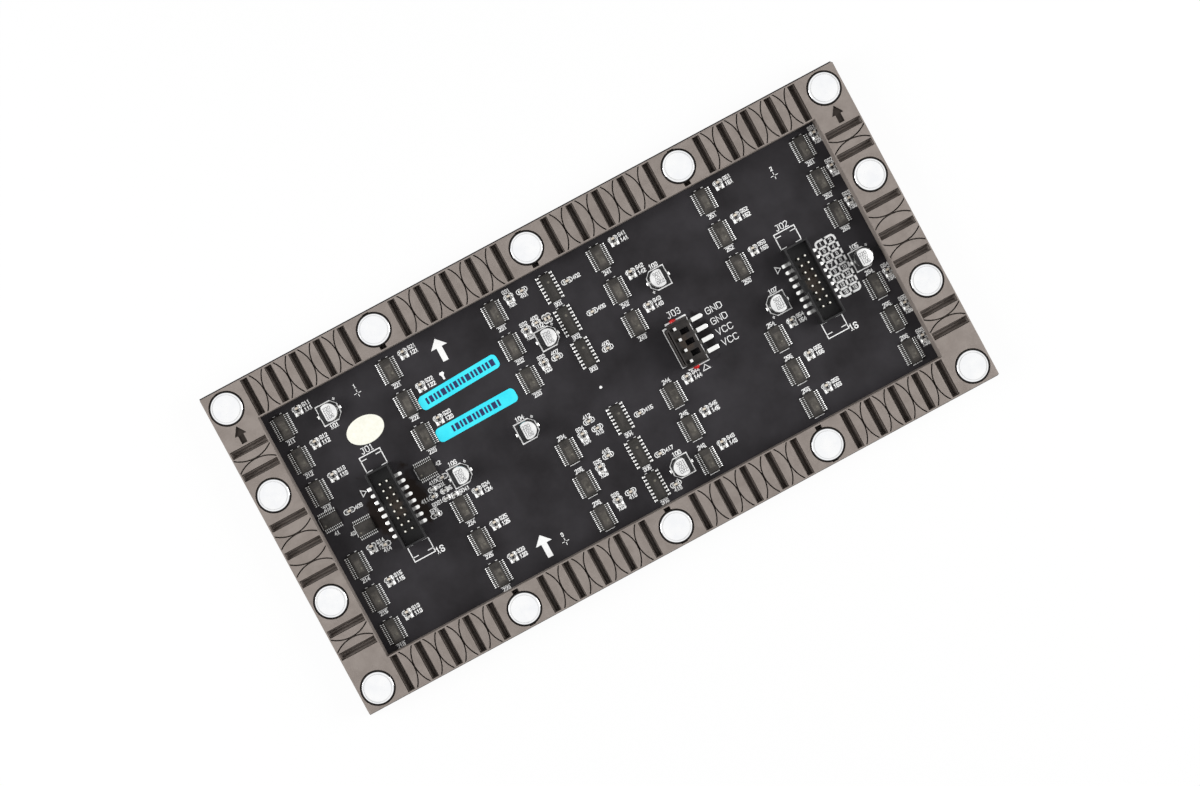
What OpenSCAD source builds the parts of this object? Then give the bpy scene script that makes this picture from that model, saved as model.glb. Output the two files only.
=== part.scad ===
// Flexible LED module, lying on its LED face with the driver side up.
// Origin: centre of the LED face. +X along the long side, +Z out of the back.

/* [LED face] */
// Distance between neighbouring LEDs
pixel_pitch = 2.5; // [2:0.1:4]
// Side of one square LED package
led_side = 1.5; // [1:0.1:1.9]
// Height of one LED package
led_h = 0.9; // [0.5:0.1:1.5]

/* [Circuit board] */
// Length of the board
board_l = 240; // [220:2:280]
// Width of the board
board_w = 120; // [114:2:150]
// Thickness of the board
board_t = 1; // [0.6:0.1:2]
// Step of the grid that the parts' places on the board are counted in
layout_grid = 0.1; // [0.09:0.005:0.11]

/* [Silicone frame] */
// Distance from the board's edge to the frame's outer side
frame_inset = 0.8; // [0.2:0.1:1.5]
// Height of the frame over the board
frame_h = 7; // [6:0.25:10]
// Width of the frame's strips
strip_w = 14.2; // [13:0.1:15]
// Radius of the frame's outer corners
frame_corner_r = 0.5; // [0.3:0.1:3]
// Width of a flex groove at its mouth
groove_w = 2.6; // [1.5:0.1:3.2]
// Width of a flex groove at its floor
groove_floor_w = 0.6; // [0.3:0.1:1.4]
// Silicone left under a flex groove
groove_web = 1.8; // [1:0.1:3]
// Silicone left at each end of a flex groove
groove_end = 0.5; // [0.3:0.1:1.5]
// Flex grooves between two magnets of a long strip
grooves_per_span = 5; // [3:1:6]
// Distance from a magnet's centre to the first groove beside it
groove_from_magnet = 9.5; // [8.5:0.1:11]
// Distance between the two end grooves of a short strip
groove_end_pitch = 8.3; // [7:0.1:9]
// Width of a curved score
score_w = 0.4; // [0.35:0.05:0.8]
// Depth of a curved score
score_depth = 0.9; // [0.3:0.1:1.5]
// Radius of a curved score
score_r = 11; // [9:0.5:20]
// How far the two scores of a pair run into each other where they meet
score_overlap = 0.2; // [0.1:0.05:0.3]
// Distance from a score's end to the strip's side
score_margin = 0.4; // [0.2:0.1:1.5]
// Width of the slot under a middle magnet
slot_w = 2.2; // [1:0.1:4]
// Total length of a direction arrow
arrow_l = 6.2; // [4:0.1:8]
// Width of a direction arrow's head
arrow_head_w = 4.3; // [3:0.1:6]
// Length of a direction arrow's head
arrow_head_l = 3.2; // [2:0.1:4]
// Width of a direction arrow's shaft
arrow_shaft_w = 2; // [1:0.1:2.5]
// Depth of a direction arrow
arrow_depth = 0.8; // [0.2:0.1:1.5]
// Distance from the corner magnet's centre to the arrow's tip
arrow_from_magnet = 6.6; // [6.2:0.1:8]

/* [Magnets] */
// Diameter of a magnet
magnet_d = 11.5; // [8:0.1:12]
// Height of a magnet
magnet_h = 4; // [2:0.25:5]
// Chamfer round a magnet's edge
magnet_chamfer = 0.5; // [0.2:0.1:1]
// Radial clearance between a magnet and its pocket
pocket_clear = 0.2; // [0.1:0.05:0.5]
// How far a magnet stands proud of the frame
magnet_proud = 0.2; // [0:0.1:0.6]
// Distance from the frame's outer sides to a magnet's centre
magnet_edge = 6.6; // [6.3:0.1:7.5]
// Distance from the middle magnet of a long strip to the next one
magnet_step_x = 57.4; // [50:0.2:60]
// Distance from the middle of a short strip to its magnets
magnet_step_y = 20; // [18:0.2:22]

/* [LED driver chips] */
// Columns of LED drivers
driver_cols = 6; // [6]
// Width of an LED driver's body
driver_body_w = 3.9; // [3:0.1:4.4]
// Length of an LED driver's body
driver_body_l = 8.65; // [8.3:0.05:9.2]
// Tip-to-tip span of an LED driver's leads
driver_span = 6.2; // [5.6:0.1:7]
// Leads on each side of an LED driver
driver_leads_per_side = 12; // [12]
// Lead pitch of an LED driver
driver_pitch = 0.65; // [0.5:0.005:0.68]
// Distance from the frame's opening to the outer columns' leads
driver_col_clear = 1.9; // [1:0.1:3]
// Distance from the frame's opening to the outer rows' bodies
driver_row_clear = 1.98; // [1:0.01:3]
// How far the last column sits inside its even place
driver_last_shift = 2.3; // [1.5:0.1:3]
// How far all LED drivers sit right of their even places
driver_shift = 0.3; // [-0.5:0.1:0.5]
// How far all LED drivers sit below their even places
driver_drop = 0.2; // [-0.5:0.1:0.5]
// Distance between the two rows on each side of the middle band
middle_band = 27.4; // [26.5:0.1:30]

/* [Row driver chips] */
// Width of a row driver's body
row_body_w = 3.9; // [3.5:0.1:4.4]
// Length of a row driver's body
row_body_l = 9.9; // [9.4:0.1:10.4]
// Tip-to-tip span of a row driver's leads
row_span = 6; // [5.5:0.1:6.6]
// Leads on each side of a row driver
row_leads_per_side = 8; // [8]
// Lead pitch of a row driver
row_pitch = 1.27; // [1:0.01:1.3]
// How far the row drivers sit right of the middle between their neighbour columns
row_driver_shift = 0.5; // [0:0.1:1]
// How far the outer row drivers sit inside the outer rows of LED drivers
row_driver_inset = 1; // [0.5:0.1:1.5]
// Distance between neighbouring row drivers
row_driver_step = 12.5; // [10.5:0.1:13]

/* [Buffer chips] */
// Width of a buffer's body
buffer_body_w = 4.4; // [4:0.1:4.6]
// Length of a buffer's body
buffer_body_l = 6.5; // [6.2:0.1:6.9]
// Tip-to-tip span of a buffer's leads
buffer_span = 6.4; // [6:0.1:6.8]
// Leads on each side of a buffer
buffer_leads_per_side = 10; // [10]
// Lead pitch of a buffer
buffer_pitch = 0.65; // [0.5:0.01:0.66]

/* [Chip bodies and leads] */
// Height of a chip's body
chip_h = 1.5; // [1:0.1:2]
// Gap between the board and a chip's body
chip_standoff = 0.1; // [0.05:0.05:0.2]
// Draft of a chip's body on each side
chip_draft = 0.2; // [0.1:0.05:0.4]
// Thickness of a lead
lead_t = 0.15; // [0.1:0.01:0.25]
// Share of the lead pitch that is metal
lead_fill = 0.4; // [0.3:0.05:0.6]
// Length of a lead's foot
lead_foot = 0.55; // [0.4:0.05:0.7]

/* [Capacitor cans] */
// Diameter of a can
can_d = 6.3; // [5:0.1:6.6]
// Height of a can over its base
can_h = 4.6; // [4:0.1:7]
// Rounding of a can's top edge
can_edge_r = 0.4; // [0.2:0.05:0.8]
// Side of a can's plastic base
can_base_side = 6.6; // [6.3:0.1:7]
// Height of a can's plastic base
can_base_h = 0.8; // [0.5:0.1:1.2]
// Chamfer on two corners of a can's base
can_base_chamfer = 1.5; // [1:0.1:2]
// Width of a can's solder tab
can_tab_w = 0.8; // [0.5:0.1:1.2]
// Length of a can's solder tab outside its base
can_tab_l = 0.5; // [0.3:0.1:0.9]
// Thickness of a can's solder tab
can_tab_t = 0.2; // [0.1:0.05:0.4]

/* [Data headers] */
// Length of a data header's housing
data_l = 28; // [26:0.1:29]
// Width of a data header's housing
data_w = 8.7; // [8:0.1:9.4]
// Height of a data header's housing over the board
data_h = 9; // [8:0.1:11]
// Wall of a data header's housing
data_wall = 0.7; // [0.6:0.05:1.4]
// Thickness of a data header's floor
data_floor = 2.2; // [1.5:0.1:3]
// Gap under a data header's floor for the pins' feet
data_standoff = 0.6; // [0.5:0.1:1]
// Width of the key slot in the outer wall
data_key_w = 4.5; // [3:0.1:6]
// Height of the key slot's sill over the board
data_key_sill = 3.6; // [3:0.1:5]
// Pin pitch of a data header
data_pitch = 2.54; // [2:0.01:2.6]
// Pins in each row of a data header
data_pins_per_row = 8; // [8]
// Side of a square data pin
data_pin_w = 0.64; // [0.5:0.02:0.8]
// Depth of a data pin's tip under the housing's rim
data_pin_recess = 1.2; // [0.5:0.1:2]
// Tip-to-tip span of the data pins' feet
data_foot_span = 12.5; // [12:0.1:13.6]
// Thickness of a data pin's foot
data_foot_t = 0.4; // [0.3:0.05:0.5]
// Distance of the data headers below the board's middle line
data_below_mid = 2.35; // [1:0.05:4]
// How far the left data header sits right of the middle between its neighbour columns
data_left_shift = 1.05; // [0:0.05:2]
// How far the right data header sits right of the middle between its neighbour columns
data_right_shift = 0.05; // [-1:0.05:1]

/* [Power header] */
// Length of the power header's housing
power_l = 16.4; // [15.8:0.1:17.5]
// Width of the power header's housing
power_w = 8.7; // [8.3:0.1:9.5]
// Height of the power header's base block
power_base_h = 4; // [3:0.1:5]
// Height of the power header's locking wall
power_wall_h = 9; // [7:0.1:11]
// Thickness of the power header's locking wall
power_wall_t = 1.3; // [1.1:0.1:2]
// Length of the power header's locking wall
power_wall_l = 13.4; // [12:0.1:15]
// Width of the slit along the locking wall
power_slit_w = 0.4; // [0.2:0.05:0.6]
// Depth of the slit along the locking wall
power_slit_depth = 3; // [1:0.1:4]
// Gap under the power header's base for the pins' feet
power_standoff = 0.7; // [0.6:0.1:1]
// Height of the power header's side walls over its base block
power_side_h = 3; // [1:0.1:5]
// Thickness of the power header's side walls
power_side_t = 0.6; // [0.4:0.1:0.9]
// Pin pitch of the power header
power_pitch = 3.96; // [3.5:0.01:4]
// Pins of the power header
power_pins_n = 4; // [4]
// Side of a square power pin
power_pin_w = 1.14; // [0.8:0.02:1.3]
// Height of a power pin's tip over the board
power_pin_h = 8; // [6:0.1:10]
// Distance from the housing's wall side to the power pins
power_pin_x = 3.2; // [2.8:0.1:3.8]
// How far the power pins' feet reach out of the housing
power_foot_out = 4.7; // [3:0.1:5]
// Thickness of a power pin's foot
power_foot_t = 0.5; // [0.3:0.05:0.55]
// Length of a window in the base block
power_window_l = 3; // [2:0.1:3.4]
// Width of a window in the base block
power_window_w = 1.9; // [1.2:0.1:2.2]
// Distance from the housing's foot side to the windows
power_window_edge = 1.1; // [0.6:0.1:1.5]
// Distance of the power header below the board's middle line
power_below_mid = 0.5; // [0:0.05:1]
// Distance from the fourth driver column to the power header's middle
power_from_col = 11.4; // [11:0.05:14]

/* [Chip capacitors and resistors] */
// Length of a chip part
chip_part_l = 1.6; // [1.2:0.1:2]
// Width of a chip part
chip_part_w = 0.8; // [0.6:0.05:0.9]
// Height of a chip capacitor
chip_cap_h = 0.8; // [0.5:0.05:1]
// Height of a chip resistor
chip_res_h = 0.45; // [0.3:0.05:0.6]
// Distance from an LED driver's middle to its chip parts
pair_from_driver = 6.8; // [6.2:0.1:7.5]
// The same distance in the last column
pair_from_last = 5.7; // [5.4:0.1:6.2]
// Distance of the chip parts above an LED driver's middle
pair_above = 2.65; // [2:0.05:3]
// The same distance in the last column of each half
pair_above_last = 2.2; // [1.8:0.05:3]
// Distance between the two chip parts beside a driver
pair_step = 1.8; // [1.4:0.1:2.2]

/* [Stickers] */
// Thickness of a sticker
sticker_t = 0.1; // [0.05:0.05:0.2]
// Width of a strip sticker
strip_sticker_w = 5; // [4:0.1:6]
// Corner radius of a strip sticker
strip_sticker_r = 1.6; // [1:0.1:1.9]
// Gap from the drivers' leads to a strip sticker's left end
strip_sticker_left = 0.5; // [0.4:0.1:1.5]
// Gap from the drivers' leads to a strip sticker's right end
strip_sticker_right = 3.2; // [1:0.1:4]
// Length of the oval sticker
oval_l = 13.3; // [10:0.1:14]
// Width of the oval sticker
oval_w = 9.3; // [7:0.1:10]
// Straight sides of the oval sticker's outline
oval_sides = 72; // [36:12:96]
// How far the oval sticker sits right of the middle between its neighbour columns
oval_shift = 3.6; // [2:0.1:5]
// Distance of the oval sticker below the second row of LED drivers
oval_drop = 1.1; // [0:0.1:3]

/* [Hidden] */
$fn = 64;
eps = 0.01;
fit_gap = 0.02;

// Heights
board_z = led_h;
top_z = led_h + board_t;
frame_top_z = top_z + frame_h;

// Plan sizes of the frame
frame_l = board_l - 2 * frame_inset;
frame_w = board_w - 2 * frame_inset;
open_l = frame_l - 2 * strip_w;
open_w = frame_w - 2 * strip_w;
strip_mid_x = frame_l / 2 - strip_w / 2;
strip_mid_y = frame_w / 2 - strip_w / 2;

// Magnet places: five along each long strip, two more on each short strip
magnet_end_x = frame_l / 2 - magnet_edge;
magnet_row_y = frame_w / 2 - magnet_edge;
long_xs = [-magnet_end_x, -magnet_step_x, 0, magnet_step_x, magnet_end_x];
magnet_places = concat(
    [for (x = long_xs) [x, magnet_row_y]],
    [for (y = [magnet_step_y, -magnet_step_y], x = [-magnet_end_x, magnet_end_x]) [x, y]],
    [for (x = long_xs) [x, -magnet_row_y]]);
middle_magnet_xs = [for (i = [1 : len(long_xs) - 2]) long_xs[i]];
magnet_seat_z = frame_top_z + magnet_proud - magnet_h;
pocket_r = magnet_d / 2 + pocket_clear;

// Groove places along the strips, and the score pairs midway between them
function span_grooves(a, b, n) = [for (k = [0 : n - 1])
    a + groove_from_magnet + k * (b - a - 2 * groove_from_magnet) / (n - 1)];
function midpoints(v) = [for (k = [0 : len(v) - 2]) (v[k] + v[k + 1]) / 2];
long_spans = [for (i = [0 : len(long_xs) - 2]) span_grooves(long_xs[i], long_xs[i + 1], grooves_per_span)];
long_grooves = [for (span = long_spans, x = span) x];
long_scores = [for (span = long_spans, x = midpoints(span)) x];
short_middle = span_grooves(-magnet_step_y, magnet_step_y, 3);
short_end = [for (k = [0, 1]) magnet_step_y + groove_from_magnet + k * groove_end_pitch];
short_grooves = concat(short_middle, short_end, -short_end);
short_scores = concat(midpoints(short_middle), midpoints(short_end), -midpoints(short_end));
groove_l = strip_w - 2 * groove_end;
score_half = strip_w / 2 - score_margin;

// LED driver grid: columns spread over the opening, rows in two bands of three
driver_rows_half = 3;
driver_rows = 2 * driver_rows_half;
col_first = -open_l / 2 + driver_col_clear + driver_span / 2;
col_step = -2 * col_first / (driver_cols - 1);
function col_x(i) = col_first + i * col_step + driver_shift
    - (i == driver_cols - 1 ? driver_last_shift : 0);
row_outer = open_w / 2 - driver_row_clear - driver_body_l / 2;
row_step = (row_outer - middle_band / 2) / (driver_rows_half - 1);
function even_row_y(j) = j < driver_rows_half
    ? row_outer - j * row_step
    : -row_outer + (driver_rows - 1 - j) * row_step;
function row_y(j) = even_row_y(j) - driver_drop;
function place(p) = [col_x(p[0]) + p[1] * layout_grid, row_y(p[2]) + p[3] * layout_grid];
function middle_x(i) = (col_x(i) + col_x(i + 1)) / 2;
function pair_dx(i) = i == driver_cols - 1 ? pair_from_last : pair_from_driver;
function pair_dy(i) = (i + 1) % (driver_cols / 2) == 0 ? pair_above_last : pair_above;

// Places as [column, grid steps along X, row, grid steps along Y] from an LED driver
mid = (driver_cols - 1) / 2;
buffer_places = [[0, -11, 2, -98], [0, 81, 3, 101], [1, -50, 2, -100]];
can_places = [[0, 158, 0, -28], [1, 44, 3, 104], [mid, -81, 1, -29], [2, -87, 3, 129],
    [5, 0, 3, 105], [3, 139, 1, -30], [4, 54, 3, 104], [mid, 110, 5, 26]];
can_turned = [0, 0, 0, 0, 0, 1, 1, 1];
lone_caps = [[mid, -83, 0, 26], [mid, -91, 1, 33], [mid, -84, 2, 24], [mid, -92, 3, 58],
    [mid, -78, 3, 25], [mid, -90, 4, 51], [mid, -81, 5, 33], [mid, 66, 0, -17], [mid, 92, 1, -23],
    [mid, 80, 2, -30], [mid, 71, 3, 1], [mid, 67, 4, -26], [mid, 65, 5, -17],
    [0, 60, 2, -100], [1, -14, 3, 126], [1, -70, 3, 83], [0, 112, 3, 18]];
upright_caps = [[mid, -59, 1, 29], [mid, -45, 1, 29]];
lone_resistors = [[1, -61, 3, 105], [1, -27, 3, 83], [1, -33, 3, 57], [1, -4, 3, 55], [1, -90, 3, 24]];

// Row drivers: three down from the top and three up from the bottom, each a little off its even place
row_driver_x = middle_x(2) + row_driver_shift;
row_driver_off = [0, -1, 2, 6, 1, 0];
function from_edge(j) = row_outer - row_driver_inset - min(j, driver_rows - 1 - j) * row_driver_step;
function row_driver_y(j) = (j < driver_rows_half ? 1 : -1) * from_edge(j)
    + row_driver_off[j] * layout_grid - driver_drop;

// Header places
data_xs = [middle_x(0) + data_left_shift, middle_x(driver_cols - 2) + data_right_shift];
data_row_x = data_pitch / 2;
power_col = driver_cols / 2;
power_x = col_x(power_col) + power_from_col;
power_left = power_x - power_w / 2;

// Sticker places
strip_sticker_l = col_x(2) - col_x(1) - driver_span - strip_sticker_left - strip_sticker_right;
strip_sticker_x = col_x(1) + driver_span / 2 + strip_sticker_left + strip_sticker_l / 2;
strip_sticker_drop = [20, 20];
strip_sticker_turn = [2.5, 1];
oval_x = middle_x(0) + oval_shift;
oval_y = row_y(1) - oval_drop;

function numbered(name, n) = [for (i = [1 : n]) str(name, i)];

// A box centred in plan, standing on z
module block(l, w, h, z = 0) {
    translate([-l / 2, -w / 2, z]) cube([l, w, h]);
}

// Board and LEDs

module circuit_board() {
    color([0.13, 0.125, 0.14]) block(board_l, board_w, board_t, board_z);
}

// Each row of LED packages is one bar, standing on the floor and carrying the board
module led_rows() {
    rows = floor(board_w / pixel_pitch);
    cols = floor(board_l / pixel_pitch);
    row_l = (cols - 1) * pixel_pitch + led_side;
    color([0.1, 0.1, 0.1])
        for (j = [0 : rows - 1])
            translate([0, (j - (rows - 1) / 2) * pixel_pitch, 0]) block(row_l, led_side, led_h);
}

// Silicone frame

module rounded_plate(l, w, h, r) {
    linear_extrude(h) union() {
        square([l - 2 * r, w], center = true);
        square([l, w - 2 * r], center = true);
        for (x = [-1, 1], y = [-1, 1])
            translate([x * (l / 2 - r), y * (w / 2 - r)]) circle(r);
    }
}

// A flex groove across a strip, running along Y, cut down from the frame's top
module groove_cut() {
    slope = (groove_w - groove_floor_w) / 2 / (frame_h - groove_web);
    mouth = groove_w / 2 + slope * eps;
    translate([0, groove_l / 2, top_z + groove_web]) rotate([90, 0, 0])
        linear_extrude(groove_l)
            polygon([[-groove_floor_w / 2, 0], [groove_floor_w / 2, 0],
                [mouth, frame_h - groove_web + eps], [-mouth, frame_h - groove_web + eps]]);
}

// Two curved scores, back to back, across a strip
module score_cut() {
    bulge = score_r - sqrt(score_r * score_r - score_half * score_half);
    cut_h = score_depth + eps;
    from_middle = (score_w - score_overlap) / 2;
    for (side = [0, 180])
        rotate(side) translate([from_middle, 0, frame_top_z - score_depth]) intersection() {
            translate([score_r, 0, 0]) difference() {
                cylinder(h = cut_h, r = score_r + score_w / 2);
                translate([0, 0, -eps]) cylinder(h = cut_h + 2 * eps, r = score_r - score_w / 2);
            }
            translate([bulge / 2, 0, 0]) block(bulge + 2 * score_w, 2 * score_half, cut_h);
        }
}

module magnet_pocket() {
    translate([0, 0, magnet_seat_z]) cylinder(h = magnet_h, r = pocket_r);
}

module arrow_cut() {
    translate([0, 0, frame_top_z - arrow_depth]) linear_extrude(arrow_depth + eps) {
        polygon([[0, 0], [-arrow_head_w / 2, -arrow_head_l], [arrow_head_w / 2, -arrow_head_l]]);
        translate([-arrow_shaft_w / 2, -arrow_l]) square([arrow_shaft_w, arrow_l - arrow_head_l + eps]);
    }
}

module silicone_frame() {
    color([0.55, 0.51, 0.48]) difference() {
        translate([0, 0, top_z]) rounded_plate(frame_l, frame_w, frame_h, frame_corner_r);
        translate([0, 0, top_z - eps]) block(open_l, open_w, frame_h + 2 * eps);
        for (p = magnet_places) translate(p) magnet_pocket();
        for (side = [-1, 1]) {
            for (x = long_grooves) translate([x, side * strip_mid_y]) groove_cut();
            for (x = long_scores) translate([x, side * strip_mid_y]) score_cut();
            for (x = middle_magnet_xs)
                translate([x, side * strip_mid_y]) block(slot_w, groove_l, frame_h, top_z + groove_web);
            for (y = short_grooves) translate([side * strip_mid_x, y]) rotate(90) groove_cut();
            for (y = short_scores) translate([side * strip_mid_x, y]) rotate(90) score_cut();
            translate([side * magnet_end_x, magnet_row_y - arrow_from_magnet]) arrow_cut();
        }
    }
}

module magnet(i) {
    r = magnet_d / 2;
    color([0.88, 0.88, 0.9]) translate(magnet_places[i]) translate([0, 0, magnet_seat_z])
        rotate_extrude() polygon([[0, 0], [r, 0], [r, magnet_h - magnet_chamfer],
            [r - magnet_chamfer, magnet_h], [0, magnet_h]]);
}

// Chips

// A moulded chip body: drafted above and below the flat band that the leads leave
module chip_body(w, l) {
    band_z = chip_h / 2 - lead_t / 2;
    function side(d) = [[d - chip_draft, 0], [d, band_z], [d, band_z + lead_t], [d - chip_draft, chip_h]];
    function outline(d) = concat(side(d), [for (k = [3 : -1 : 0]) [-side(d)[k][0], side(d)[k][1]]]);
    translate([0, 0, top_z + chip_standoff]) intersection() {
        translate([0, l / 2, 0]) rotate([90, 0, 0]) linear_extrude(l) polygon(outline(w / 2));
        translate([-w / 2, 0, 0]) rotate([90, 0, 90]) linear_extrude(w) polygon(outline(l / 2));
    }
}

// Leads down both long sides of a chip: a leg that slopes from the body to a flat foot
module chip_leads(w, span, n, pitch) {
    root_z = chip_standoff + chip_h / 2 - lead_t / 2;
    lead_w = pitch * lead_fill;
    for (side = [0, 180], k = [0 : n - 1])
        rotate(side) translate([0, (k - (n - 1) / 2) * pitch + lead_w / 2, top_z]) rotate([90, 0, 0])
            linear_extrude(lead_w) polygon([[w / 2, root_z], [span / 2 - lead_foot, 0], [span / 2, 0],
                [span / 2, lead_t], [w / 2, root_z + lead_t]]);
}

module led_driver_column(i) {
    color([0.22, 0.22, 0.2])
        for (j = [0 : driver_rows - 1])
            translate([col_x(i), row_y(j)]) chip_body(driver_body_w, driver_body_l);
}

module led_driver_leads() {
    color([0.78, 0.78, 0.76])
        for (i = [0 : driver_cols - 1], j = [0 : driver_rows - 1])
            translate([col_x(i), row_y(j)])
                chip_leads(driver_body_w, driver_span, driver_leads_per_side, driver_pitch);
}

module at_row_driver(j) {
    translate([row_driver_x, row_driver_y(j)]) children();
}

module row_driver(j) {
    color([0.22, 0.22, 0.2]) at_row_driver(j) chip_body(row_body_w, row_body_l);
}

module row_driver_leads() {
    color([0.78, 0.78, 0.76])
        for (j = [0 : driver_rows - 1])
            at_row_driver(j) chip_leads(row_body_w, row_span, row_leads_per_side, row_pitch);
}

module buffer_chip(i) {
    color([0.25, 0.25, 0.22]) translate(place(buffer_places[i])) rotate(90)
        chip_body(buffer_body_w, buffer_body_l);
}

module buffer_leads() {
    color([0.78, 0.78, 0.76])
        for (p = buffer_places)
            translate(place(p)) rotate(90)
                chip_leads(buffer_body_w, buffer_span, buffer_leads_per_side, buffer_pitch);
}

// Capacitor cans

module at_can(i) {
    translate(place(can_places[i])) rotate(180 * can_turned[i]) children();
}

module capacitor_can(i) {
    r = can_d / 2;
    color([0.9, 0.9, 0.9]) at_can(i) translate([0, 0, top_z + can_base_h])
        rotate_extrude() difference() {
            square([r, can_h]);
            translate([r - can_edge_r, can_h - can_edge_r]) difference() {
                square(can_edge_r + eps);
                circle(can_edge_r);
            }
        }
}

// The two chamfered corners mark the positive side
module capacitor_bases() {
    s = can_base_side / 2;
    c = can_base_chamfer;
    color([0.1, 0.1, 0.1])
        for (i = [0 : len(can_places) - 1])
            at_can(i) translate([0, 0, top_z]) linear_extrude(can_base_h)
                polygon([[-s, -s], [s - c, -s], [s, c - s], [s, s - c], [s - c, s], [-s, s]]);
}

module capacitor_tabs() {
    color([0.85, 0.85, 0.85])
        for (i = [0 : len(can_places) - 1], side = [0, 180])
            at_can(i) rotate(side) translate([can_base_side / 2, -can_tab_w / 2, top_z])
                cube([can_tab_l, can_tab_w, can_tab_t]);
}

// Data headers

module at_data(i) {
    translate([data_xs[i], -data_below_mid, top_z]) children();
}

module for_data_pins() {
    for (side = [0, 180], k = [0 : data_pins_per_row - 1])
        rotate(side) translate([data_row_x, (k - (data_pins_per_row - 1) / 2) * data_pitch]) children();
}

module data_header(i) {
    hole = data_pin_w + 2 * fit_gap;
    feet_l = (data_pins_per_row - 1) * data_pitch + 2 * data_pin_w;
    color([0.09, 0.09, 0.09]) at_data(i) difference() {
        block(data_w, data_l, data_h);
        block(data_w - 2 * data_wall, data_l - 2 * data_wall, data_h, data_standoff + data_floor);
        block(data_w + 2 * eps, feet_l, data_standoff + eps, -eps);
        translate([-data_w / 2 - eps, -data_key_w / 2, data_key_sill])
            cube([data_wall + 2 * eps, data_key_w, data_h]);
        for_data_pins() block(hole, hole, data_h);
    }
}

// A square pin through the floor, with a foot that runs out under the housing
module data_pins(i) {
    out = data_foot_span / 2 - data_row_x;
    r = data_pin_w / 2;
    color([0.85, 0.76, 0.5]) at_data(i) for_data_pins()
        translate([0, r, 0]) rotate([90, 0, 0]) linear_extrude(data_pin_w)
            polygon([[-r, 0], [out, 0], [out, data_foot_t], [r, data_foot_t],
                [r, data_h - data_pin_recess], [-r, data_h - data_pin_recess]]);
}

// Power header

module at_power() {
    translate([power_left, -power_below_mid, top_z]) children();
}

module for_power_pins() {
    for (k = [0 : power_pins_n - 1])
        translate([power_pin_x, (k - (power_pins_n - 1) / 2) * power_pitch]) children();
}

module power_header() {
    hole = power_pin_w + 2 * fit_gap;
    channel = (power_pins_n - 1) * power_pitch + 2 * power_pin_w;
    base_w = power_w - power_wall_t;
    color([0.1, 0.1, 0.1]) at_power() difference() {
        union() {
            translate([power_wall_t, -power_l / 2, 0]) cube([base_w, power_l, power_base_h]);
            translate([0, -power_wall_l / 2, 0]) cube([power_wall_t, power_wall_l, power_wall_h]);
            for (side = [-1, 1])
                translate([power_w - base_w / 2, side * (power_l - power_side_t) / 2, 0])
                    block(base_w, power_side_t, power_base_h + power_side_h);
        }
        translate([power_wall_t / 2, 0, power_wall_h - power_slit_depth])
            block(power_slit_w, power_wall_l - 2 * power_side_t, power_wall_h);
        translate([power_wall_t, -channel / 2, -eps])
            cube([power_w, channel, power_standoff + eps]);
        for_power_pins() block(hole, hole, power_wall_h);
        for (k = [0 : power_pins_n - 2])
            translate([power_w - power_window_edge - power_window_l / 2,
                (k - (power_pins_n - 2) / 2) * power_pitch, 0])
                block(power_window_l, power_window_w, power_base_h + eps, power_standoff - eps);
    }
}

module power_pins() {
    out = power_w - power_pin_x + power_foot_out;
    r = power_pin_w / 2;
    color([0.85, 0.83, 0.78]) at_power() for_power_pins()
        translate([0, r, 0]) rotate([90, 0, 0]) linear_extrude(power_pin_w)
            polygon([[-r, 0], [out, 0], [out, power_foot_t], [r, power_foot_t],
                [r, power_pin_h], [-r, power_pin_h]]);
}

// Chip capacitors and resistors

module driver_pairs(step, h) {
    for (i = [0 : driver_cols - 1], j = [0 : driver_rows - 1])
        translate([col_x(i) + pair_dx(i), row_y(j) + pair_dy(i) + step])
            block(chip_part_l, chip_part_w, h, top_z);
}

module chip_capacitors() {
    color([0.72, 0.6, 0.45]) {
        driver_pairs(pair_step / 2, chip_cap_h);
        for (p = lone_caps) translate(place(p)) block(chip_part_l, chip_part_w, chip_cap_h, top_z);
        for (p = upright_caps) translate(place(p)) block(chip_part_w, chip_part_l, chip_cap_h, top_z);
    }
}

module chip_resistors() {
    color([0.12, 0.12, 0.12]) {
        driver_pairs(-pair_step / 2, chip_res_h);
        for (p = lone_resistors) translate(place(p)) block(chip_part_l, chip_part_w, chip_res_h, top_z);
    }
}

// Stickers

module strip_sticker(i) {
    color([0.25, 0.9, 1])
        translate([strip_sticker_x, row_y(i + 1) - strip_sticker_drop[i] * layout_grid, top_z])
            rotate(strip_sticker_turn[i])
                rounded_plate(strip_sticker_l, strip_sticker_w, sticker_t, strip_sticker_r);
}

module upper_strip_sticker() {
    strip_sticker(0);
}

module lower_strip_sticker() {
    strip_sticker(1);
}

module oval_sticker() {
    turn = 360 / oval_sides;
    color([0.98, 0.96, 0.86]) translate([oval_x, oval_y, top_z]) linear_extrude(sticker_t)
        polygon([for (k = [0 : oval_sides - 1])
            [oval_l / 2 * cos(k * turn), oval_w / 2 * sin(k * turn)]]);
}

circuit_board();
led_rows();
silicone_frame();
for (i = [0 : len(magnet_places) - 1])
    magnet(i);
for (i = [0 : len(can_places) - 1])
    capacitor_can(i);
capacitor_bases();
capacitor_tabs();
data_header(0);  // data_header_left
data_header(1);  // data_header_right
data_pins(0);  // data_pins_left
data_pins(1);  // data_pins_right
power_header();
power_pins();
for (i = [0 : len(buffer_places) - 1])
    buffer_chip(i);
buffer_leads();
for (j = [0 : driver_rows - 1])
    row_driver(j);
row_driver_leads();
for (i = [0 : driver_cols - 1])
    led_driver_column(i);
led_driver_leads();
chip_capacitors();
chip_resistors();
upper_strip_sticker();
lower_strip_sticker();
oval_sticker();
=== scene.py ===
"""The looks of a flexible LED module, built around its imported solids.

Lengths in this file are millimetres; they become metres where a mesh is made.
"""

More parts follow.
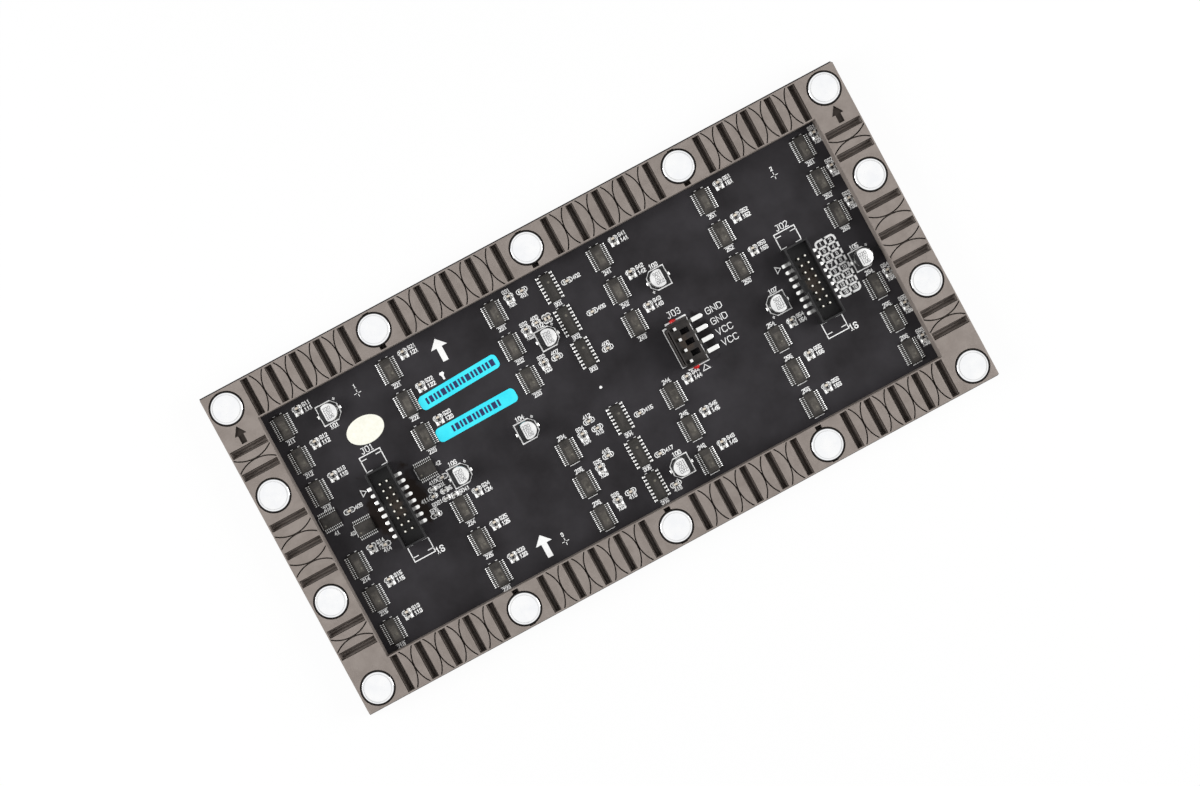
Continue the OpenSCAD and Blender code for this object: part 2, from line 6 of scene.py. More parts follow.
import logging
import math
from collections.abc import Sequence
from dataclasses import dataclass, field, replace
from enum import Enum
from itertools import cycle

import bmesh
import bpy
import numpy as np
from mathutils import Matrix, Vector


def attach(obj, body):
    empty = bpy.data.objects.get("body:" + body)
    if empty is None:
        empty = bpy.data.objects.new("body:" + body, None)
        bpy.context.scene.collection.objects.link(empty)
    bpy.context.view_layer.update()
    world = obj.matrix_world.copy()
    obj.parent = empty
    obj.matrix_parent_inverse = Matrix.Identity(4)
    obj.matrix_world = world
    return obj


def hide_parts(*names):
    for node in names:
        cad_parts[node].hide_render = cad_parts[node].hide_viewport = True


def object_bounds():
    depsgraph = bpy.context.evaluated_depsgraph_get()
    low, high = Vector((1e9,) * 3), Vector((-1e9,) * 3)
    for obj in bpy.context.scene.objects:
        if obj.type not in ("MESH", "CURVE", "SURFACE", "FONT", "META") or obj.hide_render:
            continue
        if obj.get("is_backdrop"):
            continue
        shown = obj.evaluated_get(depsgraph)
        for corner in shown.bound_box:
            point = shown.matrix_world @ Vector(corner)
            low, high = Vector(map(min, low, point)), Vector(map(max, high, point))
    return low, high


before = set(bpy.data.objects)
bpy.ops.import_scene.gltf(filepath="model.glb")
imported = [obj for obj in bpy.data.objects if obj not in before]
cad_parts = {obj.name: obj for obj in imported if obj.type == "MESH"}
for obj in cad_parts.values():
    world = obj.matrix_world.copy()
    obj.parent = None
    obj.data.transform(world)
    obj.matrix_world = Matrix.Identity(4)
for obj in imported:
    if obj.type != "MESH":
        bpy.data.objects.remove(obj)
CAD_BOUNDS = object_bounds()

LOG = logging.getLogger("led_module")
MM = 0.001
BODY = "root"

# A colour as a screen shows it, each share from 0 to 255
Colour = tuple[int, int, int]
Spot = tuple[float, float]
Tree = bpy.types.NodeTree
Node = bpy.types.Node
Socket = bpy.types.NodeSocket


# Shader nodes


def feed(tree: Tree, node: Node, inputs: dict) -> Node:
    """Sets or links the inputs of a node.

    Args:
        tree: The node's tree.
        node: The node.
        inputs: Inputs by name or number, each with its value or the socket that feeds it.

    Returns:
        The node.
    """
    for name, value in inputs.items():
        if isinstance(value, Socket):
            tree.links.new(value, node.inputs[name])
        else:
            node.inputs[name].default_value = value
    return node


def add_node(tree: Tree, kind: str, inputs: dict | None = None, **settings: str) -> Node:
    """Adds a shader node.

    Args:
        tree: The tree that takes it.
        kind: Blender's name of the node, after "ShaderNode".
        inputs: Its inputs, as for feed.
        settings: Its other settings.

    Returns:
        The node.
    """
    node = tree.nodes.new(f"ShaderNode{kind}")
    for name, value in settings.items():
        setattr(node, name, value)
    return feed(tree, node, inputs or {})


class Effect(Enum):
    """A surface effect that several finishes share, kept as a shader node group."""

    PATCHES = "soft_patches"
    GRAIN = "fine_grain"
    DUST = "dust_specks"
    # Ragged patches: flux residue and dust, and also painted shade
    STAIN = "flux_stain"
    # Painted shade in the frame's shallow cuts
    GRIME = "groove_grime"

    def group(self) -> Tree:
        """Returns the effect's node group, which is made on first use."""
        return bpy.data.node_groups.get(self.value) or EFFECT_MAKERS[self]()


@dataclass
class GroupMaker:
    """A node group in the making, with a position in millimetres to build on.

    Attributes:
        effect: The effect that the group holds.
        inputs: Names of the number inputs, with their first values.
        output: Name of the one number that the group puts out.
        tree: The group's tree.
        given: Sockets that give the inputs.
        position: Socket of the position.
    """

    effect: Effect
    inputs: dict[str, float]
    output: str = "Mask"
    tree: Tree = field(init=False)
    given: bpy.types.NodeOutputs = field(init=False)
    position: Socket = field(init=False)

    def __post_init__(self) -> None:
        """Makes the tree, its sockets and the position in millimetres."""
        self.tree = bpy.data.node_groups.new(self.effect.value, "ShaderNodeTree")
        for name, value in self.inputs.items():
            self.socket(name, "INPUT").default_value = value
        self.socket(self.output, "OUTPUT")
        self.given = self.tree.nodes.new("NodeGroupInput").outputs
        metres = {0: add_node(self.tree, "TexCoord").outputs["Object"], "Scale": 1 / MM}
        self.position = add_node(self.tree, "VectorMath", metres, operation="SCALE").outputs[0]

    def socket(self, name: str, way: str) -> bpy.types.NodeTreeInterfaceSocket:
        """Adds a number socket to the group's interface."""
        return self.tree.interface.new_socket(name, in_out=way, socket_type="NodeSocketFloat")

    def math(self, operation: str, *values: object) -> Socket:
        """Adds a math node on numbers or sockets, and returns its output."""
        return add_node(self.tree, "Math", dict(enumerate(values)), operation=operation).outputs[0]

    def ramp(self, value: Socket, start: float, end: float) -> Socket:
        """Adds a ramp from 0 at the start to 1 at the end, which may be the smaller one."""
        limits = {"Value": value, "From Min": start, "From Max": end}
        return add_node(self.tree, "MapRange", limits).outputs["Result"]

    def axes(self) -> list[Socket]:
        """Returns the x, y and z of the position."""
        return list(add_node(self.tree, "SeparateXYZ", {0: self.position}).outputs)

    def texture(self, kind: str, **inputs: float) -> bpy.types.NodeOutputs:
        """Adds a texture whose cells have the group's Size.

        Args:
            kind: Blender's name of the texture node, after "ShaderNode".
            inputs: Values of its other inputs.

        Returns:
            The texture's outputs.
        """
        scale = self.math("DIVIDE", 1.0, self.given["Size"])
        inputs |= {"Vector": self.position, "Scale": scale}
        return add_node(self.tree, kind, inputs).outputs

    def finish(self, result: Socket) -> Tree:
        """Joins the result to the group's output and returns the tree."""
        self.tree.links.new(result, self.tree.nodes.new("NodeGroupOutput").inputs[self.output])
        return self.tree


def make_patches() -> Tree:
    """Makes the group that mottles a surface in soft patches.

    Returns:
        The node group, with a Mask from 0 to 1.
    """
    maker = GroupMaker(Effect.PATCHES, {"Size": 8.0})
    noise = maker.texture("TexNoise", Detail=4.0, Roughness=0.6)
    return maker.finish(maker.ramp(noise["Fac"], 0.34, 0.66))


def make_grain() -> Tree:
    """Makes the group that gives a surface its fine grain, with a Height from 0 to 1."""
    maker = GroupMaker(Effect.GRAIN, {"Size": 0.3}, "Height")
    return maker.finish(maker.texture("TexNoise", Detail=2.0, Roughness=0.5)["Fac"])


def make_dust() -> Tree:
    """Makes the group that strews specks of dust.

    Returns:
        The node group, with a Mask from 0 to 1.
    """
    maker = GroupMaker(Effect.DUST, {"Size": 3.0, "Share": 0.2})
    largest = 0.09
    cells = maker.texture("TexVoronoi")
    lot = add_node(maker.tree, "SeparateColor", {"Color": cells["Color"]}).outputs
    chosen = maker.math("LESS_THAN", lot["Red"], maker.given["Share"])
    reach = maker.math("MULTIPLY", lot["Green"], largest)
    speck = maker.math("LESS_THAN", cells["Distance"], reach)
    return maker.finish(maker.math("MULTIPLY", chosen, speck))


def make_stain() -> Tree:
    """Makes the group that lays a ragged patch round a place, for residue, dust and painted shade.

    Returns:
        The node group, with a Mask from 0 to 1.
    """
    inputs = {"X": 0.0, "Y": 0.0, "ReachX": 3.0, "ReachY": 9.0, "Size": 2.5}
    maker = GroupMaker(Effect.STAIN, inputs)
    even, ragged = 0.7, 1.3
    squares = []
    for axis, letter in zip(maker.axes(), "XY"):
        away = maker.math("SUBTRACT", axis, maker.given[letter])
        share = maker.math("DIVIDE", away, maker.given[f"Reach{letter}"])
        squares.append(maker.math("MULTIPLY", share, share))
    noise = maker.texture("TexNoise", Detail=4.0, Roughness=0.65)
    spread = maker.math("MULTIPLY", maker.math("SQRT", maker.math("ADD", *squares)), even)
    border = maker.math("ADD", spread, maker.math("MULTIPLY", noise["Fac"], ragged))
    return maker.finish(maker.ramp(border, 1.3, 1.0))


def make_grime() -> Tree:
    """Makes the group that paints shade into shallow cuts in a frame's top, but not its walls.

    Returns:
        The node group, with a Mask from 0 to 1.
    """
    inputs = {"Top": 8.9, "OuterX": 119.0, "OuterY": 59.0, "InnerX": 105.0, "InnerY": 45.0}
    maker = GroupMaker(Effect.GRIME, inputs)
    x, y, z = maker.axes()
    away = {"X": maker.math("ABSOLUTE", x), "Y": maker.math("ABSOLUTE", y)}
    inside = [maker.math("LESS_THAN", away[n], maker.given[f"Outer{n}"]) for n in away]
    beyond = [maker.math("GREATER_THAN", away[n], maker.given[f"Inner{n}"]) for n in away]
    ring = maker.math("MULTIPLY", maker.math("MULTIPLY", *inside), maker.math("MAXIMUM", *beyond))
    depth = maker.math("SUBTRACT", maker.given["Top"], z)
    shallow = maker.math("MULTIPLY", maker.ramp(depth, 0.08, 0.3), maker.ramp(depth, 1.3, 0.95))
    return maker.finish(maker.math("MULTIPLY", ring, shallow))


EFFECT_MAKERS = {
    Effect.PATCHES: make_patches,
    Effect.GRAIN: make_grain,
    Effect.DUST: make_dust,
    Effect.STAIN: make_stain,
    Effect.GRIME: make_grime,
}


def place_effect(tree: Tree, effect: Effect, **inputs: float) -> Socket:
    """Places a shared effect in a material.

    Args:
        tree: The material's node tree.
        effect: The effect to place.
        inputs: Values of the effect's inputs.

    Returns:
        The effect's output socket.
    """
    node = tree.nodes.new("ShaderNodeGroup")
    node.node_tree = effect.group()
    return feed(tree, node, inputs).outputs[0]


def linear(colour: Colour) -> tuple[float, ...]:
    """Turns a screen's colour into a shader's linear one.

    Args:
        colour: The colour as a screen shows it.

    Returns:
        The linear colour with its alpha.
    """
    shares = (value / 255 for value in colour)
    curve = (s / 12.92 if s <= 0.04045 else ((s + 0.055) / 1.055) ** 2.4 for s in shares)
    return (*curve, 1.0)


def mix_colours(tree: Tree, mask: Socket, first: Socket | Colour, second: Colour) -> Socket:
    """Mixes a colour into another one by a mask.

    Args:
        tree: The material's node tree.
        mask: Socket of the mask, where 1 shows the second colour.
        first: A colour, or the socket of one.
        second: The colour that the mask lets in.

    Returns:
        Socket of the mixed colour.
    """
    node = add_node(tree, "Mix", {"Factor": mask}, data_type="RGBA")
    places = [k for k, socket in enumerate(node.inputs) if socket.type == "RGBA"]
    colours = [c if isinstance(c, Socket) else linear(c) for c in (first, second)]
    feed(tree, node, dict(zip(places, colours)))
    return next(socket for socket in node.outputs if socket.type == "RGBA")


# Finishes


@dataclass(frozen=True)
class Mark:
    """A colour that an effect lets into a finish.

    Attributes:
        effect: The effect whose mask places the colour.
        colour: The colour.
        inputs: Names and values of the effect's inputs.
    """

    effect: Effect
    colour: Colour
    inputs: tuple[tuple[str, float], ...]


@dataclass(frozen=True)
class Finish:
    """How one material looks: two tones in soft patches, a fine grain, and marks.

    Attributes:
        name: Name of the finish.
        dark: The darker tone.
        light: The lighter tone.
        rough: Roughness on the dark and on the light patches.
        metal: 1 for bare metal.
        gloss: Specular level, 0.5 for common plastic.
        patch: Size of the patches.
        grain: Size of the grain.
        relief: Height of the grain.
        coat: Weight of a clear coat.
        marks: Dust, flux residue and painted shade.
    """

    name: str
    dark: Colour
    light: Colour
    rough: tuple[float, float] = (0.45, 0.55)
    metal: float = 0.0
    gloss: float = 0.5
    patch: float = 8.0
    grain: float = 0.3
    relief: float = 0.005
    coat: float = 0.0
    marks: tuple[Mark, ...] = ()

    @property
    def look(self) -> str:
        """Name of the finish's material, which no CAD material has."""
        return f"{self.name}_look"

    def material(self) -> bpy.types.Material:
        """Returns the finish's material, which is made on first use."""
        return bpy.data.materials.get(self.look) or self.make()

    def make(self) -> bpy.types.Material:
        """Makes the material.

        Returns:
            The material, with its colour, roughness and bump from shared effects.
        """
        material = bpy.data.materials.new(self.look)
        material.use_nodes = True
        tree = material.node_tree
        patches = place_effect(tree, Effect.PATCHES, Size=self.patch)
        colour = mix_colours(tree, patches, self.dark, self.light)
        for mark in self.marks:
            mask = place_effect(tree, mark.effect, **dict(mark.inputs))
            colour = mix_colours(tree, mask, colour, mark.colour)
        low, high = self.rough
        rough = add_node(tree, "MapRange", {"Value": patches, "To Min": low, "To Max": high})
        grain = place_effect(tree, Effect.GRAIN, Size=self.grain)
        bump = add_node(tree, "Bump", {"Distance": self.relief * MM, "Height": grain})
        sockets = {
            "Base Color": colour,
            "Roughness": rough.outputs["Result"],
            "Normal": bump.outputs["Normal"],
            "Metallic": self.metal,
            "Specular IOR Level": self.gloss,
            "Coat Weight": self.coat,
        }
        feed(tree, tree.nodes["Principled BSDF"], sockets)
        return material


# Brown flux residue, darkened further as painted shade beside the left data header
FLUX_AND_SHADE = (31, 24, 21)
# A plain darker patch of board beside the power pads
DARKER_PATCH = (26, 24, 25)
BROWN_DUST = (62, 53, 46)
# Painted shade for the frame's shallow cuts and the magnets' pockets
GRIME = (58, 52, 48)
DUST = Mark(Effect.DUST, (168, 163, 158), (("Size", 3.0), ("Share", 0.004)))
SOLDER_MASK = Finish(
    "solder_mask", (37, 35, 37), (55, 53, 56), (0.48, 0.62), gloss=0.1, patch=24, grain=0.5,
    marks=(DUST,),
)
SILICONE = Finish(
    "silicone", (136, 127, 121), (148, 139, 133), (0.65, 0.8), gloss=0.12, patch=5, grain=0.35,
    relief=0.03, marks=(DUST,),
)
NICKEL = Finish(
    "nickel", (245, 246, 248), (252, 252, 252), (0.02, 0.06), metal=1, patch=4, grain=0.6,
    relief=0.002,
)
# Painted reflection: a duller grey for the magnets' fine ring, as a reflected arc
MAGNET_RING_REFLECTION = Finish(
    "magnet_ring_reflection", (212, 212, 211), (232, 232, 231), (0.1, 0.2), metal=1, patch=3,
)
# Painted shade: the magnets' sloping edge, dark where the gap round them lies in shade
MAGNET_EDGE_SHADE = Finish(
    "magnet_edge", (30, 28, 27), (46, 43, 41), (0.5, 0.65), gloss=0.15, patch=0.8, grain=0.2
)
ALUMINIUM = Finish(
    "can_aluminium", (226, 226, 226), (244, 244, 243), (0.2, 0.3), metal=1, patch=3, grain=0.2,
    relief=0.004,
)
TIN = Finish(
    "tin", (226, 226, 224), (244, 244, 243), (0.22, 0.34), metal=1, patch=0.5, grain=0.1
)
SOLDER = Finish(
    "solder", (240, 240, 238), (252, 252, 250), (0.1, 0.2), metal=1, patch=0.4, grain=0.15,
    relief=0.006,
)
LEAD_TIN = replace(
    TIN, name="lead_tin", dark=(176, 176, 174), light=(202, 202, 200), rough=(0.3, 0.42)
)
# Painted shade: the sloping legs of leads and the bends of pins, darker than the level tin
LEAD_FLANK_SHADE = Finish(
    "lead_flank_shade", (82, 80, 77), (108, 106, 103), (0.5, 0.65), gloss=0.2, patch=0.4, grain=0.1
)
LEAD_SOLDER = Finish(
    "lead_solder", (196, 196, 195), (224, 224, 223), (0.32, 0.45), metal=1, patch=0.4, grain=0.15,
    relief=0.02,
)
CHIP_LEAD = replace(LEAD_TIN, name="chip_lead", dark=(208, 208, 206), light=(234, 234, 232))
# Painted shade on the legs of the LED drivers' and buffers' leads
CHIP_FLANK_SHADE = replace(LEAD_FLANK_SHADE, name="chip_flank_shade", dark=(102, 100, 97), light=(130, 128, 125))
# Painted light: a bright matt finish on the row drivers' lead legs, standing in for lit tin
ROW_FLANK_LIT = Finish(
    "row_flank_lit", (225, 224, 221), (245, 244, 242), (0.4, 0.55), gloss=0.4, patch=0.4, grain=0.1
)
GOLD = Finish(
    "gold", (248, 244, 230), (254, 252, 244), (0.2, 0.3), metal=1, patch=0.6, grain=0.1
)
BLACK_PLASTIC = Finish(
    "black_plastic", (30, 30, 31), (42, 41, 42), (0.28, 0.42), gloss=0.25, patch=3, grain=0.25,
    relief=0.01,
)
POWER_PLASTIC = Finish(
    "power_plastic", (42, 39, 38), (57, 53, 51), (0.38, 0.52), gloss=0.25, patch=2.5, grain=0.25,
    relief=0.012,
)
CHIP_PLASTIC = Finish(
    "chip_plastic", (48, 46, 44), (72, 69, 66), (0.6, 0.75), gloss=0.2, patch=3.5, grain=0.12,
    relief=0.012,
)
CHIP_FADE = replace(CHIP_PLASTIC, name="chip_fade", dark=(56, 53, 50), light=(86, 82, 78))
CHIP_MARKED = replace(
    CHIP_PLASTIC, name="chip_marked", dark=(64, 61, 57), light=(102, 98, 92), patch=2.2
)
ROW_PLASTIC = replace(
    CHIP_PLASTIC, name="row_plastic", dark=(44, 42, 40), light=(57, 55, 52), patch=2.2
)
ROW_FADE = replace(ROW_PLASTIC, name="row_fade", dark=(47, 45, 43), light=(62, 60, 57))
ROW_MARKED = replace(ROW_PLASTIC, name="row_marked", dark=(50, 48, 46), light=(70, 67, 64))
CHIP_SPOT = Finish(
    "chip_spot", (94, 91, 83), (114, 110, 100), (0.35, 0.5), gloss=0.3, patch=0.6, grain=0.15
)
CERAMIC = Finish(
    "capacitor_ceramic", (204, 192, 174), (226, 216, 202), (0.4, 0.5), patch=0.5, grain=0.1
)
GLAZE = Finish(
    "resistor_glaze", (188, 186, 182), (214, 212, 208), (0.3, 0.45), gloss=0.3, patch=0.4,
    grain=0.15,
)
ALUMINA = Finish("alumina", (214, 212, 205), (232, 230, 224), (0.5, 0.6), patch=0.4, grain=0.1)
WHITE_PRINT = Finish(
    "white_print", (246, 246, 245), (253, 253, 252), (0.6, 0.7), gloss=0.2, patch=0.6, grain=0.12,
    relief=0.01,
)
BLACK_PRINT = Finish(
    "black_print", (16, 16, 18), (28, 28, 30), (0.35, 0.5), gloss=0.3, patch=0.8, grain=0.1
)
GREY_PRINT = Finish("grey_print", (70, 70, 72), (96, 95, 97), (0.4, 0.5), patch=0.3, grain=0.1)
NAVY_PRINT = Finish("navy_print", (8, 22, 70), (16, 34, 90), (0.5, 0.6), patch=0.6, grain=0.1)
CYAN_LABEL = Finish(
    "cyan_label", (54, 226, 246), (70, 238, 255), (0.4, 0.5), gloss=0.3, patch=6, grain=0.4,
    relief=0.01,
)
CREAM_LABEL = Finish(
    "cream_label", (245, 244, 229), (252, 251, 240), (0.45, 0.6), gloss=0.3, patch=1.2, grain=0.4,
    relief=0.02,
)
RED_GLUE = Finish(
    "red_glue", (200, 20, 22), (236, 40, 38), (0.2, 0.35), patch=0.5, grain=0.3, relief=0.03
)
LED_SHELL = Finish(
    "led_shell", (20, 20, 21), (28, 28, 29), (0.6, 0.75), gloss=0.25, patch=1.5, grain=0.15
)
LED_LENS = Finish(
    "led_lens", (96, 96, 90), (128, 127, 118), (0.15, 0.3), patch=0.5, grain=0.3, coat=0.5
)


# Shapes


@dataclass(frozen=True)
class Box:
    """The box of one solid of the frame.

    Attributes:
        low: Lowest corner.
        high: Highest corner.
        mean: Mean of the solid's corners, which leans to its busier side.
    """

    low: np.ndarray
    high: np.ndarray
    mean: np.ndarray

    @property
    def mid(self) -> np.ndarray:
        """Middle of the box."""
        return (self.low + self.high) / 2

    @property
    def size(self) -> np.ndarray:
        """Lengths of the box's sides."""
        return self.high - self.low

    @property
    def plus(self) -> int:
        """1 if the solid is busier on its side along +x, and otherwise -1."""
        return 1 if self.mean[0] > self.mid[0] else -1


def solids_of(*nodes: str) -> list[Box]:
    """Finds the separate solids of some nodes of the frame.

    Args:
        nodes: Names of the nodes.

    Returns:
        A box for each solid, from the top left of the board to its bottom right.
    """
    found = []
    for node in nodes:
        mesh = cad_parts[node].data
        corners = np.empty(3 * len(mesh.vertices))
        mesh.vertices.foreach_get("co", corners)
        rounded = np.round(corners.reshape(-1, 3) / MM, 3)
        corners, owner = np.unique(rounded, axis=0, return_inverse=True)
        edges = np.empty(2 * len(mesh.edges), np.int64)
        mesh.edges.foreach_get("vertices", edges)
        start, end = owner.ravel()[edges.reshape(-1, 2)].T
        # Corners that edges join take the lowest number among them, until none changes
        label, settled = np.arange(len(corners)), False
        while not settled:
            lowest = np.minimum(label[start], label[end])
            new = label.copy()
            np.minimum.at(new, start, lowest)
            np.minimum.at(new, end, lowest)
            new = new[new]
            label, settled = new, np.array_equal(new, label)
        for one in np.unique(label):
            own = corners[label == one]
            found.append(Box(own.min(0), own.max(0), own.mean(0)))
    return sorted(found, key=lambda box: (-round(box.mid[1], 1), round(box.mid[0], 1)))


def nearest(parts: Sequence[Box], place: np.ndarray) -> Box:
    """Returns the part whose middle lies nearest to a place on the board."""
    return min(parts, key=lambda part: float(np.linalg.norm(part.mid[:2] - place)))


@dataclass
class Shape:
    """A closed mesh, with the number of a finish for each face.

    Attributes:
        points: Corners, one row each.
        faces: Corner numbers of each face.
        skins: Finish number of each face.
    """

    points: np.ndarray
    faces: list[tuple[int, ...]]
    skins: list[int]

    def paint(self, skin: int, first: int, last: int) -> None:
        """Gives a finish to the faces from the first one up to the last one."""
        self.skins[first:last] = [skin] * (last - first)

    def turned(self, degrees: float) -> "Shape":
        """Turns a copy of the shape about the vertical through the origin.

        Args:
            degrees: The turn.

        Returns:
            The turned shape.
        """
        cos, sin = math.cos(math.radians(degrees)), math.sin(math.radians(degrees))
        turn = np.array([[cos, sin, 0], [-sin, cos, 0], [0, 0, 1]])
        return Shape(self.points @ turn, self.faces, self.skins)

    def moved(self, x: float, y: float, z: float = 0.0) -> "Shape":
        """Returns the shape moved."""
        return Shape(self.points + np.array([x, y, z]), self.faces, self.skins)


def loft(
    rings: Sequence[np.ndarray], skin: int = 0, top: int | None = None, loop: bool = False
) -> Shape:
    """Skins a row of rings that have the same number of points.

    Args:
        rings: The rings, in order.
        skin: Finish number of the faces.
        top: Finish number of the last cap, if it differs.
        loop: Whether the last ring joins the first, with no caps.

    Returns:
        The closed shape.
    """
    count, around = len(rings), len(rings[0])
    faces = []
    for i in range(count if loop else count - 1):
        low, high = i * around, (i + 1) % count * around
        for k in range(around):
            m = (k + 1) % around
            faces.append((low + k, low + m, high + m, high + k))
    skins = [skin] * len(faces)
    if not loop:
        faces.append(tuple(reversed(range(around))))
        faces.append(tuple(range((count - 1) * around, count * around)))
        skins += [skin, skin if top is None else top]
    return Shape(np.vstack(rings), faces, skins)


def rect_ring(
    length: float, width: float, z: float, radius: float = 0.0, steps: int = 3
) -> np.ndarray:
    """Makes a level rectangle about the origin, with round corners if it has a radius.

    Args:
        length: Length along x.
        width: Length along y.
        z: Height.
        radius: Radius of the corners.
        steps: Straight steps in each corner's arc.

    Returns:
        The ring's points.
    """
    points = []
    for quarter, (x, y) in enumerate(((1, 1), (-1, 1), (-1, -1), (1, -1))):
        for k in range(steps + 1 if radius else 1):
            angle = math.pi / 2 * (quarter + k / steps)
            across = x * (length / 2 - radius) + radius * math.cos(angle)
            points.append((across, y * (width / 2 - radius) + radius * math.sin(angle), z))
    return np.array(points)


def tongue_ring(length: float, width: float, z: float, radius: float, steps: int = 6) -> np.ndarray:
    """Makes a level rectangle about the origin whose corners at the +x end are round.

    Args:
        length: Length along x.
        width: Length along y.
        z: Height.
        radius: Radius of the two corners.
        steps: Straight steps in each corner's arc.

    Returns:
        The ring's points.
    """
    points = [(-length / 2, width / 2, z), (-length / 2, -width / 2, z)]
    for way, start in ((-1, -math.pi / 2), (1, 0.0)):
        for k in range(steps + 1):
            angle = start + math.pi / 2 * k / steps
            x = length / 2 - radius + radius * math.cos(angle)
            points.append((x, way * (width / 2 - radius) + radius * math.sin(angle), z))
    return np.array(points)


def circle_ring(
    diameter: float, z: float, sides: int, x: float = 0.0, y: float = 0.0
) -> np.ndarray:
    """Makes a level circle.

    Args:
        diameter: Diameter of the circle.
        z: Height.
        sides: Number of points.
        x: Place of the centre along x.
        y: Place of the centre along y.

    Returns:
        The ring's points.
    """
    angles = (np.arange(sides) + 0.5) * 2 * math.pi / sides
    across, along = np.cos(angles) * diameter / 2, np.sin(angles) * diameter / 2
    return np.stack([x + across, y + along, np.full(sides, z)], axis=1)


def turned_body(profile: Sequence[Spot], sides: int) -> Shape:
    """Makes a round body from the diameters and heights of its profile."""
    return loft([circle_ring(diameter, z, sides) for diameter, z in profile])


def slab(
    size: Spot, low: float, high: float, edge: float = 0.0, radius: float = 0.0,
    slope: float = 0.0, skin: int = 0, top: int | None = None,
) -> Shape:
    """Makes a block about the vertical, with a chamfered upper edge and sloping sides.

    Args:
        size: Length and width at the foot.
        low: Height of the foot.
        high: Height of the top.
        edge: Width of the chamfer.
        radius: Radius of the upright corners.
        slope: How far the sides lean in.
        skin: Finish number of the sides.
        top: Finish number of the top, if it differs.

    Returns:
        The shape.
    """
    length, width = size
    rings = [rect_ring(length, width, low, radius)]
    if edge:
        rings.append(rect_ring(length - 2 * slope, width - 2 * slope, high - edge, radius))
    inset = 2 * (slope + edge)
    top_radius = radius and max(radius - edge, 0.2 * radius)
    rings.append(rect_ring(length - inset, width - inset, high, top_radius))
    return loft(rings, skin, top)


def ribbon(
    line: Sequence[Spot], width: float, low: float, high: float, loop: bool = False
) -> Shape:
    """Makes a flat band along a line, with mitred corners.

    Args:
        line: Points of the line in plan.
        width: Width of the band.
        low: Height of its foot.
        high: Height of its top.
        loop: Whether the line closes on itself.

    Returns:
        The shape.
    """
    shortest_step, sharpest_mitre = 1e-9, 0.6
    points = np.array(line, float)
    ahead = np.roll(points, -1, axis=0) - points
    ahead /= np.maximum(np.linalg.norm(ahead, axis=1, keepdims=True), shortest_step)
    behind = np.roll(ahead, 1, axis=0)
    if not loop:
        ahead[-1], behind[0] = ahead[-2], ahead[0]
        points[0] -= ahead[0] * width / 2
        points[-1] += ahead[-1] * width / 2
    across = np.stack([-(ahead + behind)[:, 1], (ahead + behind)[:, 0]], axis=1)
    across *= width / np.maximum(np.sum(across * across, axis=1, keepdims=True), sharpest_mitre)
    sides = zip(points + across, points - across)
    return loft(
        [np.array([(*a, low), (*b, low), (*b, high), (*a, high)]) for a, b in sides], loop=loop
    )


def plate(outline: Sequence[Spot], low: float, high: float) -> Shape:
    """Makes a flat plate from its outline in plan, its foot and its top."""
    return loft([np.array([(x, y, z) for x, y in outline]) for z in (low, high)])


# Faces of a bent bar between two points of its path
BAR_SIDES = 4


def bent_bar(path: Sequence[Spot], width: float, thick: Sequence[float]) -> Shape:
    """Makes a flat bar that runs along x and bends up and down.

    Args:
        path: Points of its middle line, as places along x and z.
        width: Width along y.
        thick: Thickness at each point.

    Returns:
        The shape.
    """
    points, half = np.array(path, float), width / 2
    ahead = np.gradient(points, axis=0)
    ahead /= np.linalg.norm(ahead, axis=1, keepdims=True)
    rings = []
    for (x, z), (dx, dz), t in zip(points, ahead, thick):
        over, up = -dz * t / 2, dx * t / 2
        corners = ((-1, -1), (-1, 1), (1, 1), (1, -1))
        rings.append(np.array([(x + s * over, y * half, z + s * up) for s, y in corners]))
    return loft(rings)


def bank(path: Sequence[Spot], width: float, low: float) -> Shape:
    """Makes a bank of solder from the places along x and the heights of its profile."""
    return bent_bar([(x, low + h / 2) for x, h in path], width, [h for _, h in path])


@dataclass
class Piece:
    """A mesh object in the making.

    Attributes:
        name: Name of the object.
        finishes: Its finishes, by number.
        slot: The record's material slot, if one fits; not used.
        points: Corners of the shapes that were added.
        faces: Corner numbers of each face.
        skins: Finish number of each face.
        count: Number of corners so far.
    """

    name: str
    finishes: Sequence[Finish]
    slot: str | None = None
    points: list[np.ndarray] = field(default_factory=list)
    faces: list[tuple[int, ...]] = field(default_factory=list)
    skins: list[int] = field(default_factory=list)
    count: int = 0

    def add(self, shape: Shape, x: float = 0.0, y: float = 0.0, z: float = 0.0) -> None:
        """Adds a copy of a shape.

        Args:
            shape: The shape.
            x: Shift along x.
            y: Shift along y.
            z: Shift along z.
        """
        self.points.append(shape.points + np.array([x, y, z]))
        self.faces += [tuple(k + self.count for k in face) for face in shape.faces]
        self.skins += shape.skins
        self.count += len(shape.points)

    def build(self, *replaced: str, sharp: float = 35.0) -> None:
        """Makes the object and puts it on the part's body.

        Args:
            replaced: CAD nodes that the piece stands for.
            sharp: Angle from which an edge stays sharp, in degrees.
        """
        mesh = bpy.data.meshes.new(self.name)
        mesh.from_pydata((np.vstack(self.points) * MM).tolist(), [], self.faces)
        mesh.polygons.foreach_set("material_index", self.skins)
        work = bmesh.new()
        work.from_mesh(mesh)
        bmesh.ops.recalc_face_normals(work, faces=work.faces)
        work.to_mesh(mesh)
        work.free()
        mesh.shade_smooth()
        mesh.set_sharp_from_angle(angle=math.radians(sharp))
        for finish in self.finishes:
            mesh.materials.append(finish.material())
        piece = bpy.data.objects.new(self.name, mesh)
        bpy.context.scene.collection.objects.link(piece)
        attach(piece, BODY)
        if replaced:
            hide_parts(*replaced)
        stands_for = list(replaced) or "nothing"
        LOG.info("%s: %d faces, replaces %s", self.name, len(mesh.polygons), stands_for)


